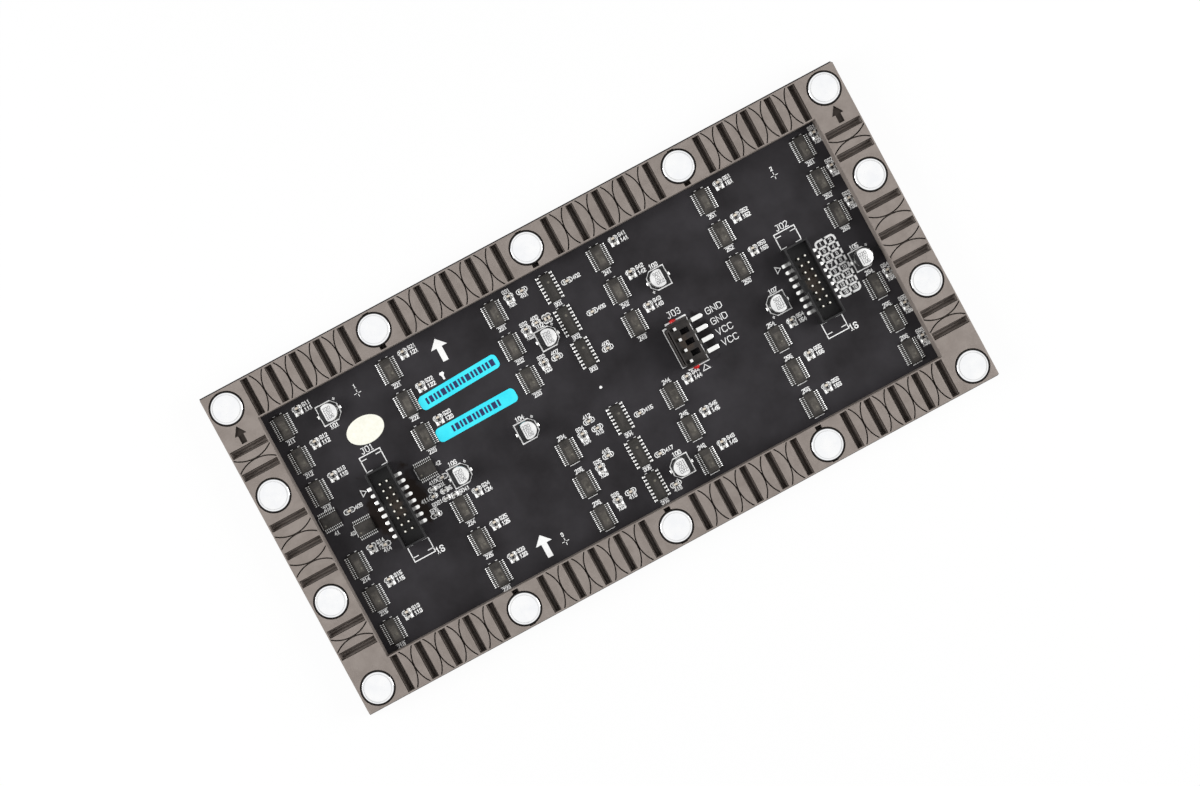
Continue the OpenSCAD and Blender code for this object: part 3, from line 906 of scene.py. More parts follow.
def dress(node: str, finish: Finish, round_edge: float = 0.0) -> None:
    """Gives a CAD node its finish, and rounds its edges if asked.

    Args:
        node: Name of the node.
        finish: Its finish.
        round_edge: Width of the rounded edges.
    """
    same_point, facets, least_angle, evenness = 0.002, 2, 32, 60
    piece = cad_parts[node]
    piece.data.materials.clear()
    piece.data.materials.append(finish.material())
    if round_edge:
        piece.modifiers.new("weld", "WELD").merge_threshold = same_point * MM
        bevel = piece.modifiers.new("round_edges", "BEVEL")
        bevel.width = round_edge * MM
        bevel.segments = facets
        bevel.limit_method = "ANGLE"
        bevel.angle_limit = math.radians(least_angle)
        bevel.use_clamp_overlap = False
        piece.modifiers.new("even_shading", "WEIGHTED_NORMAL").weight = evenness
    LOG.info("%s: CAD solid in %s", node, finish.name)


def numbered(name: str, count: int) -> list[str]:
    """Returns a name with the numbers from 1 to count."""
    return [f"{name}_{i}" for i in range(1, count + 1)]


BOARD_TOP = solids_of("circuit_board")[0].high[2]


# Print


class Align(Enum):
    """Which point of a word its place gives, as a share of its width."""

    LEFT = 0.0
    MIDDLE = 0.5


class Side(Enum):
    """Which way a label lies from its part."""

    RIGHT = (1, 0)
    LEFT = (-1, 0)
    ABOVE = (0, 1)
    BELOW = (0, -1)


# Strokes of each letter, as points on a grid
GLYPH_W, GLYPH_H, GLYPH_STEP = 4, 6, 5.6
GLYPHS: dict[str, tuple[str, ...]] = {
    "0": ("10 30 41 45 36 16 05 01 10",),
    "1": ("15 26 20", "10 30"),
    "2": ("05 16 36 45 44 00 40",),
    "3": ("05 16 36 45 44 33 42 41 30 10 01", "33 13"),
    "4": ("30 36 02 42",),
    "5": ("46 06 03 33 42 41 30 10 01",),
    "6": ("45 36 16 05 01 10 30 41 42 33 03",),
    "7": ("06 46 10",),
    "8": ("13 04 05 16 36 45 44 33 42 41 30 10 01 02 13 33",),
    "9": ("01 10 30 41 45 36 16 05 04 13 43",),
    "G": ("45 36 16 05 01 10 30 41 43 23",),
    "N": ("00 06 40 46",),
    "D": ("00 06 26 45 41 20 00",),
    "V": ("06 20 46",),
    "C": ("45 36 16 05 01 10 30 41",),
    "J": ("01 10 20 31 36", "16 46"),
    "+": ("03 43", "21 25"),
}


@dataclass
class Print:
    """Ink on a flat surface, as thin closed bands.

    Attributes:
        piece: The piece that takes the ink.
        low: Height of the surface.
        thick: Thickness of the ink.
    """

    piece: Piece
    low: float
    thick: float = 0.03

    def line(self, points: Sequence[Spot], width: float, loop: bool = False) -> None:
        """Prints a line through some points."""
        self.piece.add(ribbon(points, width, self.low, self.low + self.thick, loop))

    def both(self, x: float, y: float, half: Sequence[Spot], width: float) -> None:
        """Prints a line that is given about a middle, and its mirror image across x."""
        for side in (-1, 1):
            self.line([(x + side * dx, y + dy) for dx, dy in half], width)

    def area(self, x: float, y: float, half: Sequence[Spot]) -> None:
        """Prints a filled area that is the same on both sides.

        Args:
            x: Place of its middle along x.
            y: Place along y that its outline is given from.
            half: Right half of its outline, from the foot up.
        """
        outline = [*half, *((-dx, dy) for dx, dy in reversed(half) if dx)]
        spots = [(x + dx, y + dy) for dx, dy in outline]
        self.piece.add(plate(spots, self.low, self.low + self.thick))

    @staticmethod
    def width(text: str, height: float, stretch: float = 0.85) -> float:
        """Returns the width of a word between the middles of its outer strokes."""
        return (GLYPH_STEP * (len(text) - 1) + GLYPH_W) * stretch * height / GLYPH_H

    def word(
        self, text: str, x: float, y: float, height: float, align: Align = Align.MIDDLE,
        bold: float = 0.16, stretch: float = 0.85, turn: float = 0.0,
    ) -> None:
        """Prints a word whose letters are made of straight strokes.

        Args:
            text: The word.
            x: Place of its left end or middle.
            y: Place of its mid height.
            height: Height of the letters.
            align: Which point of the word x gives.
            bold: Width of a stroke as a share of the height.
            stretch: Width of the letters against their plain width.
            turn: Turn of the word about its place, in degrees.
        """
        tall, wide = height / GLYPH_H, stretch * height / GLYPH_H
        left = -align.value * self.width(text, height, stretch)
        for k, letter in enumerate(text):
            start = left + k * GLYPH_STEP * wide
            for stroke in GLYPHS[letter]:
                grid = [(int(point[0]), int(point[1]) - GLYPH_H / 2) for point in stroke.split()]
                spots = [(start + column * wide, row * tall) for column, row in grid]
                band = ribbon(spots, bold * height, self.low, self.low + self.thick)
                self.piece.add(band.turned(turn), x, y)


# Number and label side of each chip part that has no LED driver, from the top left
LONE_LABELS: tuple[tuple[int, Side | None], ...] = (
    (401, Side.BELOW), (402, Side.RIGHT), (403, Side.ABOVE), (404, None), (405, None),
    (406, Side.RIGHT), (407, Side.ABOVE), (408, Side.ABOVE), (409, Side.RIGHT), (410, Side.LEFT),
    (411, Side.LEFT), (412, Side.ABOVE), (413, Side.BELOW), (414, Side.BELOW), (415, Side.RIGHT),
    (416, Side.ABOVE), (417, Side.RIGHT), (418, Side.BELOW), (419, Side.BELOW), (501, Side.RIGHT),
    (5, Side.RIGHT), (5031, Side.LEFT), (5041, Side.RIGHT), (505, Side.ABOVE),
)


@dataclass
class ScreenPrint:
    """The white print on the board's back.

    Attributes:
        fine: Width of the thin lines.
        bold: Width of the bold lines.
        label_h: Height of the small labels.
        label_gap: Gap between a label and its part's outline.
        label_rim: Room round a label's strokes, along x and y.
        title_h: Height of the data headers' labels.
        partner: Way from an LED driver's middle to its pair of chip parts.
        crosses: Places of the aiming crosses.
        ink: The ink that takes the print.
    """

    fine: float = 0.28
    bold: float = 0.34
    label_h: float = 1.2
    label_gap: float = 0.15
    label_rim: Spot = (0.2, 0.15)
    title_h: float = 2.0
    partner: Spot = (6.4, 2.65)
    crosses: tuple[Spot, ...] = ((-72.5, 36.9), (85.15, 35.0), (-34.9, -39.9))
    ink: Print = field(init=False)

    def __post_init__(self) -> None:
        """Starts the piece of ink."""
        self.ink = Print(Piece("screen_print", [WHITE_PRINT]), BOARD_TOP)

    def label(
        self, number: int, x: float, y: float, align: Align = Align.MIDDLE, bold: float = 0.22
    ) -> None:
        """Prints a small plain number."""
        self.ink.word(str(number), x, y, self.label_h, align, bold)

    def label_beside(self, number: int, middle: Spot, reach: Spot, side: Side) -> None:
        """Prints a small number beside a part.

        Args:
            number: The number.
            middle: Middle of the part.
            reach: Half the length and half the width of the part's outline.
            side: Which side of the part it stands on.
        """
        size = (self.ink.width(str(number), self.label_h), self.label_h)
        half = np.array(size) / 2 + self.label_rim
        x, y = middle + np.array(side.value) * (half + self.label_gap + reach)
        self.label(number, x, y)

    def chip_marks(self, body: Box, number: int, side: Side, line_w: float) -> None:
        """Prints a chip's end lines and number.

        Args:
            body: The chip's body.
            number: Its number.
            side: Whether the number stands above or below the chip.
            line_w: Width of the line below the chip.
        """
        gap_up, gap_low, dash_t, line_t = 0.2, 0.25, 0.22, 0.2
        x, y = body.mid[:2]
        half_w, half_l = body.size[:2] / 2
        top, bottom = y + half_l + gap_up, y - half_l - gap_low
        self.ink.both(x, top, [(0.8 * half_w, 0), (0.5 * half_w, 0)], dash_t)
        self.ink.line([(x - line_w / 2, bottom), (x + line_w / 2, bottom)], line_t)
        self.label(number, x, top + 0.85 if side is Side.ABOVE else bottom - 0.95)

    def buffer_marks(self, body: Box, number: int, side: Side) -> None:
        """Prints a buffer chip's end line and number.

        Args:
            body: The chip's body.
            number: Its number.
            side: Where the number stands.
        """
        gap, share, leads = 0.2, 0.87, 1.7
        x, y = body.mid[:2]
        half_l, half_w = body.size[:2] / 2
        end, half_line = x - half_l - gap, share * half_w
        self.ink.line([(end, y - half_line), (end, y + half_line)], self.fine)
        self.label_beside(number, (x, y), (half_l + gap, half_w + leads), side)

    def pair_marks(self, upper: Box, lower: Box, number: int, beside: bool) -> None:
        """Prints the outline round a chip capacitor over a resistor, and their numbers.

        Args:
            upper: The capacitor.
            lower: The resistor.
            number: Number of their LED driver.
            beside: Whether the numbers stand to the right, and not above and below.
        """
        half, hook_half, corner, rise, gap = 1.62, 1.34, 0.5, 0.85, 0.5
        x, y_up, y_low = upper.mid[0], upper.mid[1], lower.mid[1]
        top, waist, bottom = y_up + 0.68, y_up - rise, y_low - 0.64
        arc = [(gap, top), (half - corner, top), (half, y_up + 0.25), (half, y_up - 0.4)]
        self.ink.both(x, 0, [*arc, (half - corner, waist), (gap, waist)], self.fine)
        hook = [(gap, y_low + rise), (hook_half, y_low + rise), (hook_half, bottom), (gap, bottom)]
        self.ink.both(x, 0, hook, self.fine)
        upper_number, lower_number = number + 600, number + 100
        if beside:
            left = x + half + 0.6
            self.label(upper_number, left, y_up + 0.15, Align.LEFT)
            self.label(lower_number, left, y_low + 0.05, Align.LEFT, 0.27)
        else:
            self.label(upper_number, x, top + 1.1, bold=0.2)
            self.label(lower_number, x, bottom - 0.65, bold=0.3)

    def lone_marks(self, part: Box, number: int, side: Side | None, tight: bool) -> None:
        """Prints the outline round a single chip part, and its number.

        Args:
            part: The part.
            number: Its number.
            side: Where the number stands, if the part has one.
            tight: Whether other parts lie close by.
        """
        reach, rise, gap, corner, end = (1.5 if tight else 1.9), 0.8, 0.45, 0.5, 0.35
        x, y = part.mid[:2]
        upright = part.size[1] > part.size[0]
        half = [(gap, rise), (reach - corner, rise), (reach, end)]
        half += [(a, -b) for a, b in reversed(half)]
        for way in (-1, 1):
            spots = [(b, way * a) if upright else (way * a, b) for a, b in half]
            self.ink.line([(x + dx, y + dy) for dx, dy in spots], self.fine)
        if side:
            self.label_beside(number, (x, y), (reach, rise), side)

    def can_marks(self, base: Box, number: int, side: Side) -> None:
        """Prints the outline round a can's base, its plus sign and its number.

        Args:
            base: The can's base, which leans to its plus side.
            number: The can's number.
            side: Where the number stands.
        """
        half, cut, gap, line = base.size[0] / 2 + 0.2, 1.9, 0.75, 0.4
        (x, y), plus = base.mid[:2], base.plus
        outline = [
            (-half, gap), (-half, half), (half - cut, half), (half, half - cut), (half, gap)
        ]
        for way in (-1, 1):
            self.ink.line([(x + plus * dx, y + way * dy) for dx, dy in outline], line)
        self.ink.word("+", x + plus * (half - 0.2), y + plus * (half - 0.1), 1.0, bold=0.3)
        label_y = y + side.value[1] * (half + 1.2)
        self.ink.word(str(number), x - plus * 0.6, label_y, 1.35, bold=0.22)

    def data_header_marks(self, housing: Box, foot: Box, number: int) -> None:
        """Prints the long box of a data header with its ticks, first-pin mark and numbers.

        Args:
            housing: The header's housing.
            foot: Its first pin, at the upper left.
            number: The header's number.
        """
        inset, beyond, tick, wall_gap, mark_l, mark_half = 0.5, 5.7, 2.0, 0.25, 1.7, 1.15
        left, right = housing.low[0] + inset, housing.high[0] - inset
        bottom, top = housing.low[1] - beyond, housing.high[1] + beyond
        box = [(right, top), (left, top), (left, bottom), (right, bottom)]
        self.ink.line(box, self.bold, loop=True)
        walls = (housing.high[1] + wall_gap, housing.low[1] - wall_gap)
        for y in (top - 1.25, bottom + 1.45, *walls):
            for x, way in ((left, 1), (right, -1)):
                self.ink.line([(x, y), (x + way * tick, y)], self.fine)
        tip, y = foot.low[0] - 0.75, foot.mid[1]
        mark = [(tip, y), (tip - mark_l, y + mark_half), (tip - mark_l, y - mark_half)]
        self.ink.line(mark, self.fine, loop=True)
        self.ink.word(f"J0{number}", (left + right) / 2, top + 1.6, self.title_h, bold=0.13)
        self.ink.word("16", right + 0.3, bottom - 0.2, self.title_h, Align.LEFT, 0.2)

    def pin_table(self, housing: Box, first: Box, last: Box) -> None:
        """Prints the table of pin numbers beside a data header.

        Args:
            housing: The header's housing.
            first: Its first pin.
            last: Its last pin.
        """
        near, far, line, corner, corner_steps, digit_h, rows = 2.68, 9.58, 0.76, 1.1, 4, 1.1, 8
        left, right = housing.high[0] + near, housing.high[0] + far
        top, bottom = first.mid[1] + 1.95, last.mid[1] - 0.8
        middle, step = (left + right) / 2, (top - bottom) / rows
        ring = rect_ring(right - left, top - bottom, 0, corner, corner_steps)[:, :2]
        self.ink.line(ring + np.array([middle, (top + bottom) / 2]), line, loop=True)
        self.ink.line([(middle, bottom), (middle, top)], line)
        for k in range(rows):
            y = top - (k + 0.5) * step
            if k:
                self.ink.line([(left, y + step / 2), (right, y + step / 2)], line)
            for column, x in enumerate(((left + middle) / 2, (middle + right) / 2)):
                text = str(2 * k + column + 1)
                stretch = 1.0 if len(text) == 1 else 0.8
                self.ink.word(text, x, y, digit_h, bold=0.24, stretch=stretch)

    def power_header_marks(self, housing: Box, pins: Sequence[Box], number: int) -> None:
        """Prints the power header's outline, first-pin mark, number and the names of its poles.

        Args:
            housing: The header's housing.
            pins: Its pins, from the top.
            number: The header's number.
        """
        break_half, line, letter_h, mark_half, mark_h = 0.65, 0.52, 2.1, 1.3, 1.8
        left, right = housing.low[0] + 0.05, housing.high[0] + 0.3
        bottom, top = housing.low[1] - 0.3, housing.high[1] + 0.35
        base, up, down = left + 1.55, top - 1.2, bottom + 1.6
        stops = [pin.mid[1] + side * break_half for pin in pins for side in (1, -1)]
        outline = [
            (right, stops[0]), (right, top), (base, top), (base, up), (left, up), (left, down),
            (base, down), (base, bottom), (right, bottom), (right, stops[-1]),
        ]
        self.ink.line(outline, line)
        for upper, lower in zip(stops[1:-1:2], stops[2:-1:2]):
            self.ink.line([(right, upper), (right, lower)], line)
        x, y = right - 2.0, bottom - 0.75
        mark = [(x, y), (x - mark_half, y - mark_h), (x + mark_half, y - mark_h)]
        self.ink.line(mark, self.fine, loop=True)
        self.ink.word(f"J0{number}", (left + right) / 2 + 1.4, top + 2.4, letter_h, bold=0.125)
        for pin, pole in zip(pins, ("GND", "GND", "VCC", "VCC")):
            x, y = pin.high[0] + 2.35, pin.mid[1] + 0.15
            self.ink.word(pole, x, y, letter_h, Align.LEFT, 0.13, 1.08)

    def arrow(self, x: float, tip: float) -> None:
        """Prints a filled arrow that points along +y."""
        shaft, barb, head, length = 1.0, 3.0, 3.2, 8.2
        self.ink.area(x, tip, [(shaft, -length), (shaft, -head), (barb, -head), (0.0, 0.0)])

    def pin_mark(self, x: float, top: float) -> None:
        """Prints a small filled mark with a broad head, whose stem ends at a sticker."""
        self.ink.area(x, top, [(0.35, -2.7), (0.35, -1.5), (0.9, -0.6), (0.6, 0.0)])

    def cross(self, x: float, y: float, number: int) -> None:
        """Prints an aiming cross with an open middle, and its number.

        Args:
            x: Place along x.
            y: Place along y.
            number: The number.
        """
        inner, outer, line, label_up = 0.45, 1.2, 0.22, 2.5
        for dx, dy in ((1, 0), (0, 1), (-1, 0), (0, -1)):
            self.ink.line([(x + r * dx, y + r * dy) for r in (inner, outer)], line)
        self.label(number, x, y + label_up)

    def small_parts(self, columns: Sequence[Sequence[Box]]) -> None:
        """Prints the marks of the LED drivers, their pairs of chip parts and the other parts.

        Args:
            columns: The LED drivers of each column, from the top.
        """
        crowd, line_w = (4.2, 2.4), 3.4
        capacitors, resistors = solids_of("chip_capacitors"), solids_of("chip_resistors")
        paired = set()
        for i, column in enumerate(columns):
            for j, body in enumerate(column):
                number = 10 * (i + 1) + j + 1
                side = Side.ABOVE if i >= 2 and j >= 3 else Side.BELOW
                self.chip_marks(body, number + 200, side, line_w)
                goal = body.mid[:2] + self.partner
                pair = [nearest(kind, goal) for kind in (capacitors, resistors)]
                paired.update(map(id, pair))
                self.pair_marks(*pair, number, beside=i not in (2, 5))
        lone = [part for part in capacitors + resistors if id(part) not in paired]
        for part, (number, side) in zip(lone, LONE_LABELS, strict=True):
            ways = [np.abs(other.mid - part.mid)[:2] for other in lone if other is not part]
            self.lone_marks(part, number, side, any(np.all(way < crowd) for way in ways))

    def build(self) -> None:
        """Prints the marks of every part on the board, and builds the piece."""
        columns = [solids_of(node) for node in numbered("led_driver_column", 6)]
        self.small_parts(columns)
        for k, body in enumerate(solids_of(*numbered("row_driver", 6))):
            self.chip_marks(body, 301 + k, Side.BELOW, 2.7)
        chips = solids_of(*numbered("buffer_chip", 3))
        for k, (body, side) in enumerate(zip(chips, (Side.BELOW, Side.RIGHT, Side.LEFT))):
            self.buffer_marks(body, 41 + k, side)
        for k, base in enumerate(solids_of("capacitor_bases")):
            self.can_marks(base, 101 + k, Side.ABOVE if k else Side.BELOW)
        for k, side in enumerate(("left", "right"), 1):
            housing, pins = solids_of(f"data_header_{side}")[0], solids_of(f"data_pins_{side}")
            self.data_header_marks(housing, pins[0], k)
        self.pin_table(housing, pins[0], pins[-1])
        self.power_header_marks(solids_of("power_header")[0], solids_of("power_pins"), 3)
        between = (columns[1][0].mid[0] + columns[2][0].mid[0]) / 2
        self.arrow(between - 1.65, columns[1][0].mid[1] + 2.2)
        self.arrow(between - 1.95, columns[1][-1].mid[1] + 5.0)
        sticker = solids_of("upper_strip_sticker")[0]
        self.pin_mark(sticker.mid[0] - 3.75, sticker.high[1] + 2.8)
        for k, (x, y) in enumerate(self.crosses, 1):
            self.cross(x, y, k)
        dot = [(1.0, BOARD_TOP), (1.0, BOARD_TOP + self.ink.thick)]
        self.ink.piece.add(turned_body(dot, 20))
        self.ink.piece.build()


# Board, frame and LED face


@dataclass
class BoardBack:
    """The board, with darker patches along two headers' pads: brown flux residue with painted
    shade, and a plain darker patch.

    Attributes:
        edge: Rounding of the board's edges.
        reach: Half the width of a patch, and how far it passes the end pads.
        burnt_out: Distance from the left data pins' tips to the middle of a brown flux patch with
            painted shade, outwards.
        clear_out: Distance from the power pins' tips to the middle of a plain darker patch,
            outwards.
    """

    edge: float = 0.08
    reach: Spot = (3.9, 3.2)
    burnt_out: float = 1.0
    clear_out: float = -1.4

    def stain(self, pins: str, side: int, out: float, colour: Colour) -> Mark:
        """Places a darker patch along one side of a header.

        Args:
            pins: CAD node of the header's pins.
            side: 1 for the side along +x, and otherwise -1.
            out: Distance from the pins' tips to the patch's middle, outwards.
            colour: The patch's colour.

        Returns:
            The patch.
        """
        feet = solids_of(pins)
        low, high = np.min([box.low for box in feet], 0), np.max([box.high for box in feet], 0)
        x = (high[0] if side > 0 else low[0]) + side * out
        y, reach_y = (low[1] + high[1]) / 2, (high[1] - low[1]) / 2 + self.reach[1]
        inputs = (("X", x), ("Y", y), ("ReachX", self.reach[0]), ("ReachY", reach_y))
        return Mark(Effect.STAIN, colour, inputs)

    def build(self) -> None:
        """Dresses the board."""
        # Brown flux residue with painted shade on both sides of the left data header
        dark_patches = [self.stain("data_pins_left", side, self.burnt_out, FLUX_AND_SHADE) for side in (-1, 1)]
        # A plain darker patch beside the power pads
        dark_patches.append(self.stain("power_pins", 1, self.clear_out, DARKER_PATCH))
        finish = replace(SOLDER_MASK, marks=(*SOLDER_MASK.marks, *dark_patches))
        dress("circuit_board", finish, self.edge)


@dataclass
class SiliconeFrame:
    """The moulded frame, with painted shade in its shallow cuts.

    Attributes:
        edge: Rounding of the frame's edges.
        skin: How far from a wall the painted shade ends.
    """

    edge: float = 0.12
    skin: float = 0.15

    def opening(self) -> Spot:
        """Finds the frame's opening.

        Returns:
            Half its length and half its width, from the widest faces that look inwards.
        """
        inwards = -0.99
        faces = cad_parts["silicone_frame"].data.polygons
        halves = []
        for axis in (0, 1):
            walls = [f for f in faces if f.normal[axis] < inwards and f.center[axis] > 0]
            halves.append(max(walls, key=lambda face: face.area).center[axis] / MM)
        return halves[0], halves[1]

    def build(self) -> None:
        """Dresses the frame."""
        outer_x, outer_y, top = solids_of("silicone_frame")[0].high
        inner_x, inner_y = self.opening()
        inputs = (
            ("Top", top), ("OuterX", outer_x - self.skin), ("OuterY", outer_y - self.skin),
            ("InnerX", inner_x + self.skin), ("InnerY", inner_y + self.skin),
        )
        # The frame's shallow cuts take painted shade
        cut_shade_mark = Mark(Effect.GRIME, GRIME, inputs)
        dress("silicone_frame", replace(SILICONE, marks=(*SILICONE.marks, cut_shade_mark)), self.edge)
        LOG.info("frame opening: %.1f by %.1f mm", 2 * inner_x, 2 * inner_y)


@dataclass
class Magnets:
    """Bright discs whose sloping edge is painted dark as shade, with a fine ring near it painted
    grey as a reflection.

    Attributes:
        edge: Width of the sloping edge.
        lip: Rounding between the edge and the top.
        ring: Diameter of the fine ring, as a share of the disc's.
        ring_w: Width of the ring.
        dip: Depth of the ring.
        sides: Facets round a disc.
        sharp: Angle from which an edge stays sharp, in degrees.
    """

    edge: float = 0.5
    lip: float = 0.04
    ring: float = 0.81
    ring_w: float = 0.4
    dip: float = 0.1
    sides: int = 96
    sharp: float = 20.0

    def disc(self, box: Box) -> Shape:
        """Makes a disc.

        Args:
            box: Box of the magnet.

        Returns:
            The shape about the disc's axis.
        """
        d, low, high = box.size[0], box.low[2], box.high[2]
        top_d, ring_d, floor = d - 2 * self.edge, self.ring * d, high - self.dip
        profile = [
            (d, low), (d, high - self.edge), (top_d + 2 * self.lip, high - self.lip),
            (top_d - self.lip, high), (ring_d + self.ring_w, high),
            (ring_d + self.ring_w / 2, floor), (ring_d - self.ring_w / 2, floor),
            (ring_d - self.ring_w, high),
        ]
        edge_band, ring_band = 1, 5
        shape = turned_body(profile, self.sides)
        # The sloping edge takes painted shade
        shape.paint(1, edge_band * self.sides, (edge_band + 1) * self.sides)
        # The fine ring takes a painted grey reflection
        shape.paint(2, ring_band * self.sides, (ring_band + 1) * self.sides)
        return shape

    def build(self) -> None:
        """Builds the discs."""
        for node in numbered("magnet", 14):
            box = solids_of(node)[0]
            piece = Piece(f"{node}_disc", [NICKEL, MAGNET_EDGE_SHADE, MAGNET_RING_REFLECTION], "nickel")
            piece.add(self.disc(box), *box.mid[:2])
            piece.build(node, sharp=self.sharp)


@dataclass
class LedFace:
    """The LED packages on the board's front.

    Attributes:
        pitch: Distance between neighbouring LEDs.
        window: Share of a package's side that its window takes.
        slope: Share of the side by which the window narrows.
        depth: Depth of the window.
    """

    pitch: float = 2.5
    window: float = 0.78
    slope: float = 0.08
    depth: float = 0.12

    def package(self, side: float, height: float) -> Shape:
        """Makes one LED package, with its window at the foot.

        Args:
            side: Side of the package.
            height: Its height.

        Returns:
            The shape.
        """
        outer, inner = side * self.window, side * (self.window - self.slope)
        levels = ((side, height), (side, 0.0), (outer, 0.0), (inner, self.depth))
        return loft([rect_ring(width, width, z) for width, z in levels], 0, 1)

    def build(self) -> None:
        """Sets the packages along the frame's rows."""
        piece = Piece("led_packages", [LED_SHELL, LED_LENS], "led_package")
        for row in solids_of("led_rows"):
            length, side, height = row.size
            package = self.package(side, height)
            count = round((length - side) / self.pitch) + 1
            for k in range(count):
                x = row.mid[0] + (k - (count - 1) / 2) * self.pitch
                piece.add(package, x, row.mid[1], row.low[2])
        piece.build("led_rows")


# Chips


@dataclass
class ChipFamily:
    """Moulded chips with leads on two sides.

    Attributes:
        name: Name of the family's pieces.
        bodies: CAD nodes of the bodies.
        leads: CAD node of the leads.
        pad_out: How far a pad shows past its lead.
        spot: Place of the round spot on the top, as shares of the half sizes.
        spot_d: Diameter of the round spot.
        plastic: Finishes of the bodies, of the rim of their marked field and of the field.
        marked: Middle and half sizes of the marked field on the top, if it has one.
        metals: Finishes of the leads' level parts, of their legs, whose tone is painted light and
            shade, and of the solder.
        pad_w: Width of a pad against its lead's.
        draft: How far the top lies inside the body's widest line.
        shoulder: Where a lead starts to drop, as a share of its reach.
        knee: Where its foot starts, as a share of its reach.
        metal: Thickness of a lead.
    """

    name: str
    bodies: Sequence[str]
    leads: str
    pad_out: float
    spot: Spot
    spot_d: float
    plastic: tuple[Finish, ...] = (CHIP_PLASTIC, CHIP_FADE, CHIP_MARKED)
    marked: tuple[float, float, float, float] | None = None
    metals: tuple[Finish, Finish, Finish] = (CHIP_LEAD, CHIP_FLANK_SHADE, LEAD_SOLDER)
    pad_w: float = 1.2
    draft: float = 0.3
    shoulder: float = 0.36
    knee: float = 0.76
    metal: float = 0.15

    def body(self, box: Box) -> Shape:
        """Makes a body: drafted, with a blunt upper edge, a marked field and a shallow round spot.

        Args:
            box: Box of the body.

        Returns:
            The shape about the body's middle.
        """
        edge, lean, dip, corner = 0.08, 0.02, 0.03, 0.12
        rim_shares, spot_shares = (2.0, 1.6), (1.0, 0.85)
        length, width = box.size[:2]
        low, high, middle = box.low[2], box.high[2], box.mid[2]
        levels = (
            (low, self.draft), (middle - self.metal / 2, 0.0), (middle + self.metal / 2, 0.0),
            (high - edge, self.draft - lean), (high, self.draft + edge),
        )
        rings = [rect_ring(length - 2 * inset, width - 2 * inset, z, corner) for z, inset in levels]
        sides = len(rings[0])
        rim, field_start = len(rings) * sides, (len(rings) + 1) * sides
        if self.marked:
            x, y, half_x, half_y = self.marked
            for share in rim_shares:
                ring = rect_ring(share * half_x, share * half_y, high, corner)
                rings.append(ring + np.array([x, y, 0]))
        x, y = self.spot * (box.size[:2] / 2 - self.draft)
        for share, z in zip(spot_shares, (high, high - dip)):
            rings.append(circle_ring(self.spot_d * share, z, sides, x, y))
        shape = loft(rings, 0, 1)
        if self.marked:
            shape.paint(2, rim, field_start)
            shape.paint(3, field_start, len(shape.faces) - 2)
        return shape

    def lead(self, box: Box) -> Shape:
        """Makes a lead that leaves the body level, drops and ends in a foot.

        Args:
            box: Box of the lead in the frame.

        Returns:
            The shape, from the body at the origin out along x.
        """
        length, width, t = max(box.size[:2]), min(box.size[:2]), self.metal
        root, ground = box.high[2] - t / 2, box.low[2] + t / 2
        drop, knee = self.shoulder * length, self.knee * length
        path = [
            (0, root), (drop - 0.08, root), (drop + 0.02, root - 0.05),
            (knee - 0.06, ground + 0.08), (knee + 0.03, ground), (length, ground),
        ]
        bar = bent_bar(path, width, [t] * len(path))
        # The legs take the second finish, whose tone is painted light and shade
        bar.paint(1, BAR_SIDES, 4 * BAR_SIDES)
        return bar

    def pad(self, box: Box) -> Shape:
        """Makes the solder on a pad, banked up against the lead's foot.

        Args:
            box: Box of the lead in the frame.

        Returns:
            The shape, with the lead's root at the origin.
        """
        length, width = max(box.size[:2]), self.pad_w * min(box.size[:2])
        path = [
            (self.knee * length - 0.03, 0.03), (length - 0.03, 0.04), (length + 0.03, 0.14),
            (length + 0.5 * self.pad_out, 0.1), (length + self.pad_out, 0.03),
        ]
        return bank(path, width, BOARD_TOP)

    def build(self) -> None:
        """Builds the family's bodies, leads and solder."""
        plain, *marked = self.plastic
        bodies = []
        for node in self.bodies:
            piece = Piece(f"{node}_body", [plain, CHIP_SPOT, *marked], "chip_plastic")
            for box in solids_of(node):
                piece.add(self.body(box), *box.mid[:2])
                bodies.append(box)
            piece.build(node)
        boxes = solids_of(self.leads)
        lead, pad = self.lead(boxes[0]), self.pad(boxes[0])
        turns = {turn: (lead.turned(turn), pad.turned(turn)) for turn in (0, 90, 180, 270)}
        metal = Piece(f"{self.name}_leads", self.metals[:2], "tin")
        solder = Piece(f"{self.name}_solder", self.metals[2:], "tin")
        for box in boxes:
            away = box.mid[:2] - nearest(bodies, box.mid[:2]).mid[:2]
            axis = int(box.size[1] > box.size[0])
            turn = 90 * axis + (0 if away[axis] > 0 else 180)
            root = box.mid[:2]
            root[axis] = box.low[axis] if away[axis] > 0 else box.high[axis]
            metal.add(turns[turn][0], *root)
            solder.add(turns[turn][1], *root)
        metal.build(self.leads)
        solder.build()


# Capacitor cans


